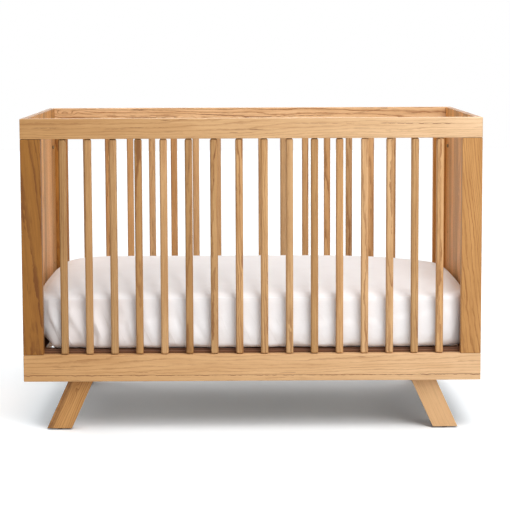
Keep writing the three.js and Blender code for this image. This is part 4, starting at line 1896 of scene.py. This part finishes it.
    def _drape(self, sheet: Piece) -> None:
        """Lets the cotton settle as cloth held at its hem, each point moving outwards only a little."""
        start = [(vertex.co.copy(), vertex.normal.copy()) for vertex in sheet.data.vertices]
        held = [v.index for v in sheet.data.vertices if v.co.z < self.sheet_low.z + self.hem_grip]
        group = sheet.vertex_groups.new(name="hem")
        group.add(held, 1.0, "REPLACE")
        cloth = sheet.modifiers.new("cotton", "CLOTH")
        settings = {
            "quality": 5,
            "mass": 0.15,
            "tension_stiffness": 12.0,
            "compression_stiffness": 12.0,
            "bending_stiffness": 0.3,
            "use_pressure": True,
            "uniform_pressure_force": self.pressure,
            "shrink_min": -self.slack,
        }
        for name, value in settings.items():
            setattr(cloth.settings, name, value)
        cloth.settings.effector_weights.gravity = 0.0
        cloth.settings.vertex_group_mass = group.name
        cloth.collision_settings.use_collision = False
        cloth.point_cache.frame_start, cloth.point_cache.frame_end = 1, self.frames
        self.bench.hold(sheet)
        for frame in range(1, self.frames + 1):
            bpy.context.scene.frame_set(frame)
        bpy.ops.object.modifier_apply(modifier=cloth.name)
        bpy.context.scene.frame_set(1)
        sheet.vertex_groups.clear()
        for vertex, (place, normal) in zip(sheet.data.vertices, start):
            move = vertex.co - place
            outward = move.dot(normal)
            along = move - normal * outward
            along *= min(self.cap / max(along.length, 1e-6), 1.0)
            vertex.co = place + along * 0.5 + normal * min(max(outward, 0.0), self.cap)
        self._keep_clear(sheet)

    def _keep_clear(self, sheet: Piece) -> None:
        """Keeps the sheet just above the deck and off the end panels and the spindles."""
        reach_x = self.node_box("right_end_panel")[0].x - self.clearance
        reach_y = self.node_box("rear_spindle_01")[0].y - self.clearance
        for vertex in sheet.data.vertices:
            vertex.co.x = min(max(vertex.co.x, -reach_x), reach_x)
            vertex.co.y = min(max(vertex.co.y, -reach_y), reach_y)
            vertex.co.z = max(vertex.co.z, self.sheet_low.z + 0.0001)

    @staticmethod
    def _lean(point: Vector) -> float:
        """Which way a fold slants, and how much: away from the corner that it hangs from."""
        return 1.0 if point.x < 0.15 else -0.6

    def _slackness(self, point: Vector) -> float:
        """How slack the sheet is: most at the front left, a little at the other corners.

        Args:
            point: A point of the sheet.

        Returns:
            The slackness, from 0 to 1.
        """
        left = max(1.0 - (point.x + self.half_x) / 0.62, 0.0)
        right = max(1.0 - (self.half_x - point.x) / 0.30, 0.0)
        base = 0.10
        if point.y < 0.0:
            return min(base + left**0.8 + 0.30 * right, 1.0)
        return min(base + 0.55 * left + 0.4 * right, 1.0)


# ---- Studio ------------------------------------------------------------------------------------
@dataclass(frozen=True)
class Sun:
    """A broad even light.

    Args:
        name: Its name.
        level: What a white face that is turned to it shows.
        source: The way in which it stands.
        angle: How wide it is, in degrees.
    """

    name: str
    level: float
    source: Place
    angle: float


SUNS = (
    Sun("overhead", 0.38, (0.04, -0.30, 0.95), 34.0),
    Sun("back", 0.29, (0.0, 0.86, 0.50), 40.0),
    Sun("side", 0.30, (-0.80, 0.42, 0.43), 40.0),
    Sun("fill", 0.35, (0.60, -0.76, 0.25), 50.0),
)


@dataclass
class Studio:
    """A white floor, soft light from above and the front right, and the camera."""

    floor_size: float = 24.0
    floor_seen: Colour = (0.97, 0.975, 0.98)
    floor_plain: Colour = (0.62, 0.62, 0.62)
    ambient: float = 0.26
    key_power: float = 62.0
    key_place: Place = (1.30, -2.40, 2.80)
    key_aim: Place = (0.0, 0.0, 0.45)
    key_size: float = 1.90
    # painted light: the floor glows faintly under the crib's middle, hardly at all under its ends, and more
    # beside it
    glow_under: Colour = (0.046, 0.056, 0.062)
    glow_beside: Colour = (0.155, 0.185, 0.205)
    glow_corner: Colour = (0.000, 0.012, 0.020)
    camera_place: Place = (-0.0216, -5.1727, 1.1684)
    turned_left: float = -0.377
    tilted_down: float = 5.414
    rolled: float = -0.216
    lens: float = 114.96
    shift: float = -0.12

    def build(self) -> None:
        """Makes the floor, the world, the lamps and the camera."""
        self._floor()
        self._world()
        for sun in SUNS:
            self._sun(sun)
        self._key()
        self._camera()
        bpy.context.scene.view_settings.view_transform = "Standard"

    def _floor(self) -> None:
        """A white floor that shows white to the camera and reflects less on to the crib; it glows as painted
        light, more beside the crib than under it, which shapes the crib's shadow on the floor.
        """
        bpy.ops.object.select_all(action="DESELECT")
        bpy.ops.mesh.primitive_plane_add(size=self.floor_size, location=(0.0, 0.0, 0.0))
        floor = bpy.context.object
        floor.name = "studio_floor"
        material = bpy.data.materials.new("studio_white")
        nodes = NodeTree(material)
        seen = self._seen(nodes)
        shown = nodes.add("ShaderNodeBsdfDiffuse", {}, {"Color": (*self.floor_seen, 1.0)})
        x, y, _ = nodes.split(nodes.object_place())
        # painted light: the glow is strongest beside the crib and weakest under its ends, painting the shape of
        # its shadow
        beside = (x.size() - 0.54).between(0.0, 0.13).most((y.size() - 0.36).between(0.0, 0.30))
        under = nodes.blend((x.size() - 0.30).between(0.0, 0.20), self.glow_under, self.glow_corner)
        colour = nodes.blend(beside, under, self.glow_beside)
        glow = nodes.add("ShaderNodeEmission", {}, {"Color": colour, "Strength": 1.0})
        both = nodes.add("ShaderNodeAddShader", {}, {0: nodes.read(shown), 1: nodes.read(glow)})
        plain = nodes.add("ShaderNodeBsdfDiffuse", {}, {"Color": (*self.floor_plain, 1.0)})
        mixed = nodes.add("ShaderNodeMixShader", {}, {0: seen, 1: nodes.read(plain), 2: nodes.read(both)})
        nodes.add("ShaderNodeOutputMaterial", {}, {"Surface": nodes.read(mixed)})
        floor.data.materials.append(material)

    @staticmethod
    def _seen(nodes: NodeTree) -> Signal:
        """Tells rays that show the studio itself from those that light the crib.

        Args:
            nodes: The nodes of the floor or the world.

        Returns:
            1 for camera, glossy and transmission rays, else 0.
        """
        path = nodes.add("ShaderNodeLightPath", {}, {})
        camera = nodes.read(path, "Is Camera Ray")
        glossy = nodes.read(path, "Is Glossy Ray")
        return camera.most(glossy).most(nodes.read(path, "Is Transmission Ray"))

    def _world(self) -> None:
        """White where it is seen, a soft even light elsewhere."""
        world = bpy.data.worlds.new("studio_world")
        bpy.context.scene.world = world
        nodes = NodeTree(world)
        seen = self._seen(nodes)
        white = (1.0, 1.0, 1.0, 1.0)
        soft = nodes.add("ShaderNodeBackground", {}, {"Color": white, "Strength": self.ambient})
        bright = nodes.add("ShaderNodeBackground", {}, {"Color": white, "Strength": 1.0})
        mixed = nodes.add("ShaderNodeMixShader", {}, {0: seen, 1: nodes.read(soft), 2: nodes.read(bright)})
        nodes.add("ShaderNodeOutputWorld", {}, {"Surface": nodes.read(mixed)})

    @staticmethod
    def _lamp(name: str, kind: str, place: Place, toward: Vector) -> bpy.types.Object:
        """Adds a lamp.

        Args:
            name: Its name.
            kind: SUN or AREA.
            place: Where it stands.
            toward: The way in which it shines.

        Returns:
            The lamp.
        """
        lamp = bpy.data.objects.new(name, bpy.data.lights.new(name, kind))
        bpy.context.scene.collection.objects.link(lamp)
        lamp.location = place
        lamp.rotation_mode = "QUATERNION"
        lamp.rotation_quaternion = toward.to_track_quat("-Z", "Y")
        return lamp

    def _sun(self, sun: Sun) -> None:
        """Adds a broad even light."""
        lamp = self._lamp(sun.name, "SUN", (0.0, 0.0, 4.0), -Vector(sun.source))
        lamp.data.energy = sun.level * math.pi
        lamp.data.angle = math.radians(sun.angle)

    def _key(self) -> None:
        """The softbox at the front right, which draws the spindles' shadows."""
        toward = Vector(self.key_aim) - Vector(self.key_place)
        lamp = self._lamp("key", "AREA", self.key_place, toward)
        lamp.data.energy = self.key_power
        lamp.data.shape = "SQUARE"
        lamp.data.size = self.key_size

    def _camera(self) -> None:
        """The camera, in front of the crib and a little above its top rail, looking down."""
        yaw, pitch, roll = (math.radians(a) for a in (self.turned_left, self.tilted_down, self.rolled))
        level = Vector((-math.sin(yaw), math.cos(yaw), 0.0))
        right = Vector((math.cos(yaw), math.sin(yaw), 0.0))
        forward = level * math.cos(pitch) - Z_AXIS * math.sin(pitch)
        up = level * math.sin(pitch) + Z_AXIS * math.cos(pitch)
        rolled_right = right * math.cos(roll) + up * math.sin(roll)
        rolled_up = up * math.cos(roll) - right * math.sin(roll)
        data = bpy.data.cameras.new("camera")
        data.sensor_fit = "HORIZONTAL"
        data.sensor_width = 36.0
        data.lens = self.lens
        data.shift_y = self.shift
        camera = bpy.data.objects.new("camera", data)
        bpy.context.scene.collection.objects.link(camera)
        turn = Matrix((rolled_right, rolled_up, -forward)).transposed().to_4x4()
        camera.matrix_world = Matrix.Translation(self.camera_place) @ turn
        bpy.context.scene.camera = camera


def main() -> None:
    """Builds the crib from its frame out, and the studio round it."""
    logging.basicConfig(level=logging.INFO, format="%(name)s %(message)s")
    bench, timber = Workbench(), Timber()
    kit = (bench, timber, Finishes())
    Studio().build()
    for side in Side:
        SlattedSide(*kit, side=side).build()
    for end in End:
        EndPanel(*kit, end=end).build()
    for side, end in CORNERS:
        Leg(*kit, side=side, end=end).build()
    MattressSupport(*kit).build()
    Bedding(*kit).build()


if __name__ == "__main__":
    main()
